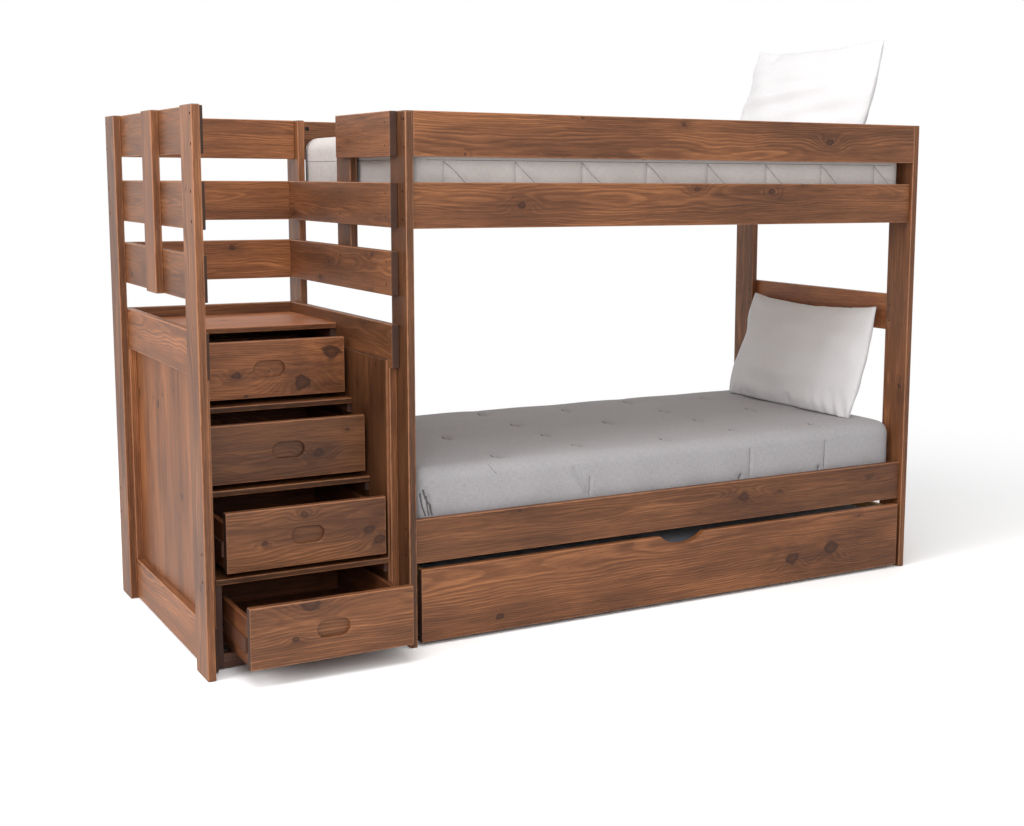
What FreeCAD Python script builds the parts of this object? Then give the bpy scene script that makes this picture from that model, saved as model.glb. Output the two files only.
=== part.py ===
import FreeCAD, Part

import math
import os
import re

# Twin bunk bed with a flight of drawer stairs at its left end and a trundle underneath.
#
# Millimetres, +Z up. +X runs along the bed towards the head end, the front faces -Y and the
# stairs stand at the -X end. While the pieces are laid out, x = 0 is the outer face of the
# bed's two left posts, y = 0 is the front plane of the posts and z = 0 is the floor. The
# origin is then moved to the middle of the footprint, on the floor, with the drawers drawn
# out as far as the photograph shows them.

DRAWERS = 4

# Driving dimensions. Boards are dressed pine stock, 25 mm thick where nothing else is said.
SIZES = {
    "board": 25.0,
    "edge_round": 3.0,
    # bed frame
    "bed_length": 2040.0,
    "bed_depth": 1088.0,
    "post_depth": 121.0,
    "rail_height": 136.0,
    "side_rail_height": 140.0,
    "side_rail_recess": 14.0,
    "upper_rail_base": 1307.0,
    "guard_gap": 77.0,
    "lower_rail_base": 265.0,
    "second_row_lift": 1.333,
    "third_row_lift": 8.667,
    "head_rail_base": 896.0,
    "end_setback": 61.0,
    "entry_post_y": 461.0,
    # bed slats
    "ledger_height": 38.0,
    "slat_width": 90.0,
    "slat_thick": 19.0,
    "slat_count": 13.0,
    "slat_margin": 20.0,
    # bolts and barrel nuts of the side and guard rails
    "bolt_pitch": 84.0,
    "bolt_radius": 3.0,
    "bolt_length": 80.0,
    "bolt_head_radius": 4.6,
    "bolt_head_length": 5.0,
    "bolt_clearance": 0.4,
    "nut_play": 0.1,
    "nut_seat_room": 2.0,
    "counterbore_depth": 10.0,
    "nut_radius": 8.0,
    "nut_inset": 44.0,
    "nut_length": 17.0,
    # screws of the end rails
    "screw_head_radius": 3.2,
    "screw_radius": 1.9,
    "screw_length": 42.0,
    "screw_pitch": 70.0,
    "screw_inset": 39.0,
    # stair box
    "stair_width": 638.0,
    "base_clearance": 4.0,
    "panel_rail_base": 878.0,
    "panel_thick": 6.0,
    "panel_top": 903.0,
    "stile_setback": 85.0,
    "panel_recess": 12.0,
    "first_rise": 276.0,
    "step_rise": 234.0,
    "first_nosing": 91.0,
    "step_run": 150.0,
    "tread_thick": 18.0,
    "tread_depth": 184.0,
    "cleat_height": 30.0,
    "packer_thick": 17.0,
    "toe_rail_height": 44.0,
    # drawers
    "nosing_overhang": 12.0,
    "drawer_gap": 16.0,
    "front_height": 183.0,
    "drawer_side_height": 140.0,
    "drawer_side_thick": 15.0,
    "drawer_side_lift": 10.0,
    "drawer_bottom_thick": 6.0,
    "drawer_bottom_lift": 10.0,
    "pull_length": 102.0,
    "pull_height": 52.0,
    "pull_depth": 13.0,
    "pull_rim": 3.0,
    "slide_space": 13.5,
    "slide_height": 45.0,
    "slide_gap": 0.5,
    "slide_lift": 48.0,
    "drawer_1_box": 600.0,
    "drawer_2_box": 600.0,
    "drawer_3_box": 500.0,
    "drawer_4_box": 400.0,
    "drawer_1_open": 236.0,
    "drawer_2_open": 175.0,
    "drawer_3_open": 157.0,
    "drawer_4_open": 135.0,
    # trundle
    "trundle_gap": 14.0,
    "trundle_base": 12.0,
    "trundle_front_height": 234.0,
    "trundle_board": 19.0,
    "trundle_end_inset": 16.0,
    "trundle_side_base": 65.0,
    "trundle_side_height": 170.0,
    "trundle_depth": 1040.0,
    "trundle_ledger": 35.0,
    "trundle_slat_count": 10.0,
    "trundle_slat_thick": 18.0,
    "notch_width": 180.0,
    "notch_drop": 33.0,
    "wheel_radius": 25.0,
    "wheel_width": 18.0,
    "axle_radius": 4.0,
    "axle_clearance": 0.08,
    "caster_plate": 3.0,
    "caster_cheek": 2.5,
    "caster_length": 54.0,
    "caster_play": 1.0,
    "caster_inset": 70.0,
    # mattresses and pillows
    "soft_clearance": 0.3,
    "mattress_height": 238.0,
    "mattress_end_gap": 13.0,
    "mattress_side_gap": 7.0,
    "mattress_corner": 70.0,
    "trundle_mattress_height": 100.0,
    "tuft_columns": 10.0,
    "tuft_rows": 4.0,
    "tuft_radius": 95.0,
    "tuft_depth": 6.0,
    "pillow_width": 790.0,
    "upper_pillow_height": 400.0,
    "lower_pillow_height": 440.0,
    "pillow_thick": 130.0,
    "pillow_bow": 16.0,
    "pillow_lean": 16.5,
    "pillow_foot": 142.0,
}

# Places and spans that follow from the sizes.
LAYOUT = {
    "origin_x": "(bed_length + board - stair_width) / 2",
    "origin_y": "(bed_depth + first_nosing + nosing_overhang - drawer_1_open) / 2",
    "clear_length": "bed_length - 2 * board",
    "rear_post_y": "bed_depth - post_depth",
    "right_post_x": "bed_length - board",
    "top_row_base": "upper_rail_base + side_rail_height + guard_gap",
    "post_height": "top_row_base + rail_height",
    "row_pitch": "(top_row_base - panel_rail_base) / 3",
    "second_row_base": "panel_rail_base + 2 * row_pitch + second_row_lift",
    "third_row_base": "panel_rail_base + row_pitch + third_row_lift",
    "back_rail_y": "bed_depth - end_setback - board",
    "end_rail_run": "bed_depth - 2 * end_setback - board",
    "side_rail_inner_y": "side_rail_recess + board",
    "slat_run": "bed_depth - 2 * side_rail_recess - 2 * board",
    "stair_post_x": "-stair_width",
    "stair_rail_x": "board - stair_width",
    "stair_inner_x": "2 * board - stair_width",
    "frame_base": "base_clearance",
    "stile_base": "base_clearance + rail_height",
    "stile_height": "panel_rail_base - base_clearance - rail_height",
    "stile_width": "post_depth - stile_setback",
    "panel_front_y": "stile_setback + panel_recess",
    "panel_run": "bed_depth - end_setback - board - stile_setback - panel_recess - panel_thick",
    "bay_left": "2 * board - stair_width + panel_thick",
    "bay_right": "-board - panel_thick",
    "drawer_x": "2 * board - stair_width + panel_thick + packer_thick + slide_space",
    "drawer_right": "-board - panel_thick - slide_space",
    "drawer_width": "stair_width - 3 * board - 2 * panel_thick - packer_thick - 2 * slide_space",
    "slide_thick": "(slide_space - slide_gap) / 2",
    "trundle_x": "board + trundle_gap",
    "trundle_length": "bed_length - 2 * board - 2 * trundle_gap",
    "trundle_slat_y": "board",
    "trundle_deck": "trundle_side_base + trundle_ledger",
    "trundle_top": "trundle_base + trundle_front_height",
    "lower_deck": "lower_rail_base + ledger_height + slat_thick",
    "upper_deck": "upper_rail_base + ledger_height + slat_thick",
}

doc = FreeCAD.newDocument("bunk_bed_with_storage_stairs")
parts = []


# ---------------------------------------------------------------- sizes and expressions


def make_sheet():
    """The driving dimensions, one named cell each."""
    sheet = doc.addObject("Spreadsheet::Sheet", "Sizes")
    for row, (alias, number) in enumerate(SIZES.items(), start=1):
        sheet.set(f"A{row}", alias)
        sheet.set(f"B{row}", str(number))
        sheet.setAlias(f"B{row}", alias)
    doc.recompute()
    return sheet


def named(text):
    """Writes an expression on the names above as one that the document understands."""

    def full_name(match):
        word = match.group(0)
        if word in SIZES:
            return "Sizes." + word
        return "Layout." + word

    return re.sub(r"[a-z][a-z0-9_]*", full_name, str(text))


def make_layout():
    """The places and spans that follow from the driving dimensions."""
    layout = doc.addObject("App::VarSet", "Layout")
    for name, text in LAYOUT.items():
        layout.addProperty("App::PropertyFloat", name, "Layout")
        layout.setExpression(name, named(text))
    doc.recompute()
    return layout


sheet = make_sheet()
layout = make_layout()


def size(name):
    """The present value of a driving dimension or of a place worked out from them."""
    if name in SIZES:
        return float(sheet.get(name))
    return float(getattr(layout, name))


def bind(item, prop, text):
    item.setExpression(prop, named(text))


def place(item, x, y, z):
    """Puts a piece at a point of the layout, measured from the model's origin."""
    bind(item, "Placement.Base.x", f"({x}) - origin_x")
    bind(item, "Placement.Base.y", f"({y}) - origin_y")
    bind(item, "Placement.Base.z", z)


def keep(item, label):
    """Names a sub-part and lists it among those that are written out."""
    item.Label = label
    parts.append(item)
    return item


# ---------------------------------------------------------------- building blocks


def board(label, spans, corner, rounding="edge_round"):
    """A board with eased edges: its spans along X, Y and Z, and its lowest corner."""
    body = doc.addObject("PartDesign::Body", label)
    blank = body.newObject("PartDesign::AdditiveBox", label + "_blank")
    for prop, span in zip(("Length", "Width", "Height"), spans):
        bind(blank, prop, span)
    eased = body.newObject("PartDesign::Fillet", label + "_eased")
    eased.Base = (blank, [f"Edge{n}" for n in range(1, 13)])
    bind(eased, "Radius", rounding)
    place(body, *corner)
    return body


def plain(label, spans, corner):
    """A square-edged piece that is out of sight."""
    box = doc.addObject("Part::Box", label)
    for prop, span in zip(("Length", "Width", "Height"), spans):
        bind(box, prop, span)
    place(box, *corner)
    return box


def group(label, members):
    """Several like pieces that share one node as separate solids."""
    compound = doc.addObject("Part::Compound", label)
    compound.Links = members
    return keep(compound, label)


def origin_plane(body, role):
    for feature in body.Origin.OriginFeatures:
        if feature.Role == role:
            return feature
    raise ValueError(role)


def circles(body, name, role, offset, centres, radius):
    """A sketch of equal circles on one of the body's planes, moved along its normal."""
    sketch = body.newObject("Sketcher::SketchObject", name)
    sketch.AttachmentSupport = [(origin_plane(body, role), "")]
    sketch.MapMode = "FlatFace"
    bind(sketch, "AttachmentOffset.Base.z", offset)
    up = FreeCAD.Vector(0, 0, 1)
    for n, (across, height) in enumerate(centres):
        start = FreeCAD.Vector(10 + 20 * n, 10 + 20 * n, 0)
        edge = sketch.addGeometry(Part.Circle(start, up, 3), False)
        for kind, value in (("DistanceX", across), ("DistanceY", height)):
            index = sketch.addConstraint(Sketcher_constraint(kind, -1, 1, edge, 3, 10.0))
            bind(sketch, f"Constraints[{index}]", value)
        index = sketch.addConstraint(Sketcher_constraint("Radius", edge, 3.0))
        bind(sketch, f"Constraints[{index}]", radius)
    return sketch


def Sketcher_constraint(*terms):
    import Sketcher

    return Sketcher.Constraint(*terms)


def pocket(body, sketch, depth, backwards):
    """Cuts a sketch into the body, and makes sure that it did cut."""
    doc.recompute()
    before = body.Shape.Volume
    cut = body.newObject("PartDesign::Pocket", sketch.Name + "_cut")
    cut.Profile = sketch
    bind(cut, "Length", depth)
    cut.Reversed = backwards
    doc.recompute()
    if not body.Shape.Volume < before:
        raise ValueError(sketch.Name + " cuts nothing")
    return cut


# ---------------------------------------------------------------- posts and rails


def bolt_rows():
    """Each bolted rail of a post: how far its centre lies from the post's face, and its height."""
    flush = "board / 2"
    recessed = "side_rail_recess + board / 2"
    return (
        (flush, "top_row_base + rail_height / 2"),
        (recessed, "upper_rail_base + side_rail_height / 2"),
        (recessed, "lower_rail_base + side_rail_height / 2"),
    )


def post(label, x, rear, outer_left):
    """A full-height post, drilled for two bolts at each of its three rails."""
    y = "rear_post_y" if rear else "0"
    body = board(label, ("board", "post_depth", "post_height"), (x, y, "0"))
    centres = []
    for inset, height in bolt_rows():
        across = f"post_depth - ({inset})" if rear else inset
        for sign in ("-", "+"):
            centres.append((across, f"{height} {sign} bolt_pitch / 2"))
    through = circles(body, label + "_bores", "YZ_Plane", "0", centres, "bolt_radius + bolt_clearance")
    pocket(body, through, "board", True)
    face = "0" if outer_left else "board"
    wide = circles(body, label + "_counterbores", "YZ_Plane", face, centres, "bolt_head_radius + bolt_clearance")
    pocket(body, wide, "counterbore_depth", outer_left)
    return keep(body, label)


def bolted_rail(label, height, y, z, rear):
    """A rail between two posts, bored at each end for two bolts and their barrel nuts."""
    body = board(label, ("clear_length", "board", height), ("board", y, z))
    levels = [f"{height} / 2 {sign} bolt_pitch / 2" for sign in ("-", "+")]
    ends = [("board / 2", level) for level in levels]
    depth = "bolt_length + counterbore_depth - board"
    left = circles(body, label + "_left_bores", "YZ_Plane", "0", ends, "bolt_radius + bolt_clearance")
    pocket(body, left, depth, True)
    right = circles(body, label + "_right_bores", "YZ_Plane", "clear_length", ends, "bolt_radius + bolt_clearance")
    pocket(body, right, depth, False)
    nuts = [(x, level) for x in ("nut_inset", "clear_length - nut_inset") for level in levels]
    inner = "0" if rear else "-board"
    seats = circles(body, label + "_nut_seats", "XZ_Plane", inner, nuts, "nut_radius + bolt_clearance")
    pocket(body, seats, "nut_length + nut_seat_room", not rear)
    return keep(body, label)


def bed_frame():
    """Four posts, the guard rails flush with them and the side rails set back a little."""
    for side, x, outer_left in (("left", "0", True), ("right", "right_post_x", False)):
        post(f"bed_post_front_{side}", x, False, outer_left)
        post(f"bed_post_rear_{side}", x, True, outer_left)
    rear_flush = "bed_depth - board"
    rear_recessed = "bed_depth - side_rail_recess - board"
    bolted_rail("guard_rail_front", "rail_height", "0", "top_row_base", False)
    bolted_rail("guard_rail_rear", "rail_height", rear_flush, "top_row_base", True)
    for level in ("upper", "lower"):
        base = level + "_rail_base"
        bolted_rail(f"{level}_side_rail_front", "side_rail_height", "side_rail_recess", base, False)
        bolted_rail(f"{level}_side_rail_rear", "side_rail_height", rear_recessed, base, True)


def end_rails():
    """Rails across both ends of the bed, and the short post beside the way in."""
    left = "-board"
    post_middle = "entry_post_y + post_depth / 2"
    short_run = f"{post_middle} - end_setback"
    top = board("entry_rail_a", ("board", short_run, "rail_height"), (left, "end_setback", "top_row_base"))
    middle = board("entry_rail_b", ("board", "end_rail_run", "rail_height"), (left, "end_setback", "second_row_base"))
    low = board("entry_rail_c", ("board", "end_rail_run", "rail_height"), (left, "end_setback", "third_row_base"))
    group("entry_rails", [top, middle, low])
    upright = ("board", "post_depth", "post_height - third_row_base")
    keep(board("entry_post", upright, ("0", "entry_post_y", "third_row_base")), "entry_post")

    across = ("board", "bed_depth - 2 * end_setback", "rail_height")
    pair = []
    for name, base in (("a", "top_row_base"), ("b", "second_row_base")):
        pair.append(board("right_end_rail_" + name, across, ("bed_length", "end_setback", base)))
    group("right_end_rails", pair)
    keep(board("head_rail", across, ("bed_length", "end_setback", "head_rail_base")), "head_rail")


def slats(label, base):
    """One row of slats on the ledgers, from one end of the bed to the other."""
    body = doc.addObject("PartDesign::Body", label)
    body.AllowCompound = True
    one = body.newObject("PartDesign::AdditiveBox", label + "_one")
    bind(one, "Length", "slat_width")
    bind(one, "Width", "slat_run")
    bind(one, "Height", "slat_thick")
    row = body.newObject("PartDesign::LinearPattern", label + "_row")
    row.Originals = [one]
    row.Direction = (origin_plane(body, "X_Axis"), [""])
    bind(row, "Length", "clear_length - 2 * slat_margin - slat_width")
    bind(row, "Occurrences", "slat_count")
    body.Tip = row
    place(body, "board + slat_margin", "side_rail_inner_y", base)
    return keep(body, label)


def bed_decks():
    """Ledgers inside the side rails, and the slats that lie on them."""
    ledgers = []
    for level in ("upper", "lower"):
        base = level + "_rail_base"
        for side, y in (("front", "side_rail_inner_y"), ("rear", "bed_depth - side_rail_inner_y - board")):
            spans = ("clear_length", "board", "ledger_height")
            ledgers.append(plain(f"ledger_{level}_{side}", spans, ("board", y, base)))
        slats(level + "_slats", f"{base} + ledger_height")
    group("bed_ledgers", ledgers)


# ---------------------------------------------------------------- stair box


def stair_rails():
    """The two outer posts of the stairs and the guard rails round the landing."""
    post("stair_post_front", "stair_post_x", False, True)
    post("stair_post_rear", "stair_post_x", True, True)
    bases = ("third_row_base", "second_row_base", "top_row_base")
    left = []
    back = []
    for n, base in enumerate(bases):
        along = ("board", "end_rail_run", "rail_height")
        left.append(board(f"stair_left_rail_{n}", along, ("stair_rail_x", "end_setback", base)))
        across = ("stair_width - board", "board", "rail_height")
        back.append(board(f"stair_back_rail_{n}", across, ("stair_rail_x", "back_rail_y", base)))
    group("stair_left_rails", left)
    group("stair_back_rails", back)
    batten = ("board", "post_depth", "post_height - third_row_base")
    keep(board("guard_batten", batten, ("stair_post_x", "entry_post_y", "third_row_base")), "guard_batten")


def side_frame(label, x, panel_x):
    """Two rails and two stiles in one plane, and the thin panel on their inner side."""
    pieces = []
    for name, base in (("top", "panel_rail_base"), ("bottom", "frame_base")):
        spans = ("board", "end_rail_run", "rail_height")
        pieces.append(board(f"{label}_{name}", spans, (x, "end_setback", base)))
    for name, y in (("fore", "stile_setback"), ("aft", "back_rail_y - stile_width")):
        spans = ("board", "stile_width", "stile_height")
        pieces.append(board(f"{label}_{name}", spans, (x, y, "stile_base")))
    group(label + "_frame", pieces)
    sheet_spans = ("panel_thick", "panel_run", "panel_top - frame_base")
    panel = plain(label + "_panel_sheet", sheet_spans, (panel_x, "panel_front_y", "frame_base"))
    keep(panel, label + "_panel")


def back_frame():
    """Rails, stiles and panel that close the back of the stair box."""
    pieces = []
    for name, base in (("top", "panel_rail_base"), ("bottom", "frame_base")):
        spans = ("stair_width - board", "board", "rail_height")
        pieces.append(board(f"back_{name}", spans, ("stair_rail_x", "back_rail_y", base)))
    for name, x in (("left", "stair_rail_x"), ("right", "-stile_width")):
        spans = ("stile_width", "board", "stile_height")
        pieces.append(board(f"back_{name}", spans, (x, "back_rail_y", "stile_base")))
    group("back_frame", pieces)
    across = "stair_width - 3 * board"
    sheet_spans = (across, "panel_thick", "panel_top - frame_base")
    panel = plain("back_panel_sheet", sheet_spans, ("stair_inner_x", "back_rail_y - panel_thick", "frame_base"))
    keep(panel, "back_panel")


def underside(step):
    """Height of the lower face of a tread, counted from 0; the landing is the last one."""
    return f"first_rise + {step} * step_rise - tread_thick"


def nosing(step):
    return f"first_nosing + {step} * step_run"


def treads():
    """Three treads and the landing, carried by packers on the left and cleats on the right."""
    for step in range(DRAWERS - 1):
        spans = ("bay_right - bay_left", "tread_depth", "tread_thick")
        tread = board(f"tread_board_{step}", spans, ("bay_left", nosing(step), underside(step)))
        keep(tread, f"tread_{step + 1}")
    last = DRAWERS - 1
    landing = ("-board - stair_inner_x", f"back_rail_y - ({nosing(last)})", "tread_thick")
    keep(board("landing_board", landing, ("stair_inner_x", nosing(last), underside(last))), "landing")

    runners = []
    for step in range(DRAWERS):
        foot = "frame_base" if step == 0 else f"{underside(step - 1)} + tread_thick"
        rise = f"{underside(step)} - ({foot})"
        packer = ("packer_thick", f"back_rail_y - panel_thick - ({nosing(step)})", rise)
        runners.append(plain(f"packer_{step}", packer, ("bay_left", nosing(step), foot)))
        wide = "slide_space - 1.5" if step < last else "slide_space - 1.5 + panel_thick"
        front = f"{nosing(step)} + nosing_overhang"
        cleat = (wide, "tread_depth - 2 * nosing_overhang", "cleat_height")
        corner = ("drawer_right + 1.5", front, f"{underside(step)} - cleat_height")
        runners.append(plain(f"cleat_{step}", cleat, corner))
    group("stair_runners", runners)
    toe = ("bay_right - bay_left - packer_thick", "board", "toe_rail_height")
    keep(board("toe_board", toe, ("bay_left + packer_thick", "first_nosing", "frame_base")), "toe_rail")


# ---------------------------------------------------------------- drawers


def drawer_places(n):
    """Front face, foot and box length of a drawer as it stands in the photograph."""
    front_y = f"{nosing(n)} + nosing_overhang - drawer_{n + 1}_open"
    foot = f"{underside(n)} - drawer_gap - front_height"
    return front_y, foot, f"drawer_{n + 1}_box"


def pull_rim_edges(shape, centre):
    """Names of the edges where the finger pull meets the front's face."""
    names = []
    for number, edge in enumerate(shape.Edges, start=1):
        box = edge.BoundBox
        on_face = abs(box.YMin) < 0.01 and abs(box.YMax) < 0.01
        across = max(abs(box.XMin - centre.x), abs(box.XMax - centre.x))
        upright = max(abs(box.ZMin - centre.y), abs(box.ZMax - centre.y))
        if on_face and across < size("pull_length") / 2 + 1 and upright < size("pull_height") / 2 + 1:
            names.append(f"Edge{number}")
    return names


def drawer_front(n, front_y, foot):
    """The show front, with a finger pull routed into its middle."""
    label = f"drawer_{n + 1}_front"
    body = board(label, ("drawer_width", "board", "front_height"), ("drawer_x", front_y, foot))
    sketch = body.newObject("Sketcher::SketchObject", label + "_pull")
    sketch.AttachmentSupport = [(origin_plane(body, "XZ_Plane"), "")]
    sketch.MapMode = "FlatFace"
    centre = FreeCAD.Vector(size("drawer_width") / 2, size("front_height") / 2, 0)
    reach = (size("pull_length") - size("pull_height")) / 2
    radius = size("pull_height") / 2
    up = FreeCAD.Vector(0, 0, 1)
    ends = []
    for side, first in ((-1, math.pi / 2), (1, -math.pi / 2)):
        middle = centre + FreeCAD.Vector(side * reach, 0, 0)
        arc = Part.ArcOfCircle(Part.Circle(middle, up, radius), first, first + math.pi)
        ends.append(sketch.addGeometry(arc, False))
    for side in (1, -1):
        start = centre + FreeCAD.Vector(-reach, side * radius, 0)
        stop = centre + FreeCAD.Vector(reach, side * radius, 0)
        sketch.addGeometry(Part.LineSegment(start, stop), False)
    left, right, top, bottom = 0, 1, 2, 3
    for terms in (
        ("Tangent", top, 1, left, 1),
        ("Tangent", bottom, 1, left, 2),
        ("Tangent", top, 2, right, 2),
        ("Tangent", bottom, 2, right, 1),
        ("Horizontal", top),
    ):
        sketch.addConstraint(Sketcher_constraint(*terms))
    driven = (
        ("DistanceX", (-1, 1, left, 3), centre.x - reach, "drawer_width / 2 - (pull_length - pull_height) / 2"),
        ("DistanceX", (-1, 1, right, 3), centre.x + reach, "drawer_width / 2 + (pull_length - pull_height) / 2"),
        ("DistanceY", (-1, 1, left, 3), centre.y, "front_height / 2"),
        ("Radius", (left,), radius, "pull_height / 2"),
    )
    for kind, terms, value, text in driven:
        index = sketch.addConstraint(Sketcher_constraint(kind, *terms, value))
        bind(sketch, f"Constraints[{index}]", text)
    cut = pocket(body, sketch, "pull_depth", False)
    rim = body.newObject("PartDesign::Fillet", label + "_rim")
    rim.Base = (cut, pull_rim_edges(cut.Shape, centre))
    bind(rim, "Radius", "pull_rim")
    return keep(body, label)


def drawer_box(n, front_y, foot, run):
    """Sides, inner front, back and bottom behind a drawer front."""
    back_of_front = f"{front_y} + board"
    side_foot = f"{foot} + drawer_side_lift"
    far_side = "drawer_x + drawer_width - drawer_side_thick"
    inner = "drawer_width - 2 * drawer_side_thick"
    inner_x = "drawer_x + drawer_side_thick"
    name = f"drawer_{n + 1}"
    side = ("drawer_side_thick", run, "drawer_side_height")
    cross = (inner, "drawer_side_thick", "drawer_side_height")
    bottom = (inner, f"{run} - 2 * drawer_side_thick", "drawer_bottom_thick")
    tail = f"{back_of_front} + {run} - drawer_side_thick"
    pieces = [
        board(name + "_left_side", side, ("drawer_x", back_of_front, side_foot)),
        board(name + "_right_side", side, (far_side, back_of_front, side_foot)),
        board(name + "_inner_front", cross, (inner_x, back_of_front, side_foot)),
        board(name + "_back", cross, (inner_x, tail, side_foot)),
        plain(
            name + "_bottom",
            bottom,
            (inner_x, f"{back_of_front} + drawer_side_thick", f"{side_foot} + drawer_bottom_lift"),
        ),
    ]
    group(name + "_box", pieces)


def drawer_slides(n, front_y, foot, run):
    """The moving members on the drawer; returns the two that stay in the stair box."""
    name = f"drawer_{n + 1}"
    spans = ("slide_thick", run, "slide_height")
    level = f"{foot} + slide_lift"
    moving_y = f"{front_y} + board"
    fixed_y = f"{nosing(n)} + nosing_overhang + board"
    moving = [
        plain(name + "_runner_left", spans, ("drawer_x - slide_thick", moving_y, level)),
        plain(name + "_runner_right", spans, ("drawer_right", moving_y, level)),
    ]
    group(name + "_runners", moving)
    return [
        plain(name + "_track_left", spans, ("drawer_x - slide_space", fixed_y, level)),
        plain(name + "_track_right", spans, ("drawer_right + slide_space - slide_thick", fixed_y, level)),
    ]


def drawers():
    tracks = []
    for n in range(DRAWERS):
        front_y, foot, run = drawer_places(n)
        drawer_front(n, front_y, foot)
        drawer_box(n, front_y, foot, run)
        tracks += drawer_slides(n, front_y, foot, run)
    group("drawer_tracks", tracks)


# ---------------------------------------------------------------- trundle


def trundle():
    """A low drawer on four fixed casters, with its own slats."""
    front = board(
        "trundle_front_board",
        ("trundle_length", "board", "trundle_front_height"),
        ("trundle_x", "0", "trundle_base"),
    )
    notch = front.newObject("PartDesign::SubtractiveCylinder", "trundle_notch")
    notch.Placement = FreeCAD.Placement(FreeCAD.Vector(), FreeCAD.Rotation(FreeCAD.Vector(1, 0, 0), 90))
    radius = "(notch_width * notch_width / 4 + notch_drop * notch_drop) / (2 * notch_drop)"
    bind(notch, "Radius", radius)
    bind(notch, "Height", "board + 2")
    bind(notch, "Placement.Base.x", "trundle_length / 2")
    bind(notch, "Placement.Base.y", "board + 1")
    bind(notch, "Placement.Base.z", f"trundle_front_height - notch_drop + {radius}")
    keep(front, "trundle_front")

    end_x = "trundle_x + trundle_end_inset"
    far_end_x = "trundle_x + trundle_length - trundle_end_inset - trundle_board"
    inner_x = f"{end_x} + trundle_board"
    inner_run = "trundle_length - 2 * trundle_end_inset - 2 * trundle_board"
    end = ("trundle_board", "trundle_depth - board", "trundle_side_height")
    tail = (inner_run, "trundle_board", "trundle_side_height")
    ledge = (inner_run, "board", "trundle_ledger")
    back_y = "trundle_depth - trundle_board"
    pieces = [
        board("trundle_end_left", end, (end_x, "board", "trundle_side_base")),
        board("trundle_end_right", end, (far_end_x, "board", "trundle_side_base")),
        board("trundle_back", tail, (inner_x, back_y, "trundle_side_base")),
        plain("trundle_ledger_front", ledge, (inner_x, "board", "trundle_side_base")),
        plain("trundle_ledger_rear", ledge, (inner_x, f"{back_y} - board", "trundle_side_base")),
    ]
    group("trundle_box", pieces)

    row_body = doc.addObject("PartDesign::Body", "trundle_slats")
    row_body.AllowCompound = True
    one = row_body.newObject("PartDesign::AdditiveBox", "trundle_slat_one")
    bind(one, "Length", "slat_width")
    bind(one, "Width", f"{back_y} - board")
    bind(one, "Height", "trundle_slat_thick")
    row = row_body.newObject("PartDesign::LinearPattern", "trundle_slat_row")
    row.Originals = [one]
    row.Direction = (origin_plane(row_body, "X_Axis"), [""])
    bind(row, "Length", f"{inner_run} - 2 * slat_margin - slat_width")
    bind(row, "Occurrences", "trundle_slat_count")
    row_body.Tip = row
    place(row_body, f"{inner_x} + slat_margin", "board", "trundle_deck")
    keep(row_body, "trundle_slats")


def caster(name, x, y):
    """A fork with its axle, centred on x and y under the trundle; returns fork, axle and wheel."""
    fork = doc.addObject("PartDesign::Body", name + "_fork")
    outer = "wheel_width + 2 * caster_play + 2 * caster_cheek"
    plate = fork.newObject("PartDesign::AdditiveBox", name + "_plate")
    bind(plate, "Length", outer)
    bind(plate, "Width", "caster_length")
    bind(plate, "Height", "caster_plate")
    bind(plate, "Placement.Base.z", "trundle_side_base - caster_plate")
    cheek_foot = "wheel_radius - 2 * axle_radius"
    for side, offset in (("left", "0"), ("right", "wheel_width + 2 * caster_play + caster_cheek")):
        cheek = fork.newObject("PartDesign::AdditiveBox", f"{name}_{side}_cheek")
        bind(cheek, "Length", "caster_cheek")
        bind(cheek, "Width", "wheel_radius")
        bind(cheek, "Height", f"trundle_side_base - ({cheek_foot})")
        bind(cheek, "Placement.Base.x", offset)
        bind(cheek, "Placement.Base.y", "(caster_length - wheel_radius) / 2")
        bind(cheek, "Placement.Base.z", cheek_foot)
    hole = fork.newObject("PartDesign::SubtractiveCylinder", name + "_axle_hole")
    hole.Placement = FreeCAD.Placement(FreeCAD.Vector(), FreeCAD.Rotation(FreeCAD.Vector(0, 1, 0), 90))
    bind(hole, "Radius", "axle_radius + axle_clearance")
    bind(hole, "Height", outer)
    bind(hole, "Placement.Base.y", "caster_length / 2")
    bind(hole, "Placement.Base.z", "wheel_radius")
    place(fork, f"{x} - ({outer}) / 2", f"{y} - caster_length / 2", "0")

    axle = doc.addObject("Part::Cylinder", name + "_axle")
    axle.Placement = hole.Placement
    bind(axle, "Radius", "axle_radius")
    bind(axle, "Height", f"{outer} + 2 * caster_plate")
    place(axle, f"{x} - ({outer}) / 2 - caster_plate", y, "wheel_radius")

    wheel = doc.addObject("PartDesign::Body", name + "_wheel")
    tyre = wheel.newObject("PartDesign::AdditiveCylinder", name + "_tyre")
    bind(tyre, "Radius", "wheel_radius")
    bind(tyre, "Height", "wheel_width")
    eased = wheel.newObject("PartDesign::Fillet", name + "_tyre_eased")
    eased.Base = (tyre, ["Edge1", "Edge3"])
    bind(eased, "Radius", "edge_round")
    bore = wheel.newObject("PartDesign::SubtractiveCylinder", name + "_bore")
    bind(bore, "Radius", "axle_radius + axle_clearance")
    bind(bore, "Height", "wheel_width")
    wheel.Placement = hole.Placement
    place(wheel, f"{x} - wheel_width / 2", y, "wheel_radius")
    return fork, axle, wheel


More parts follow.
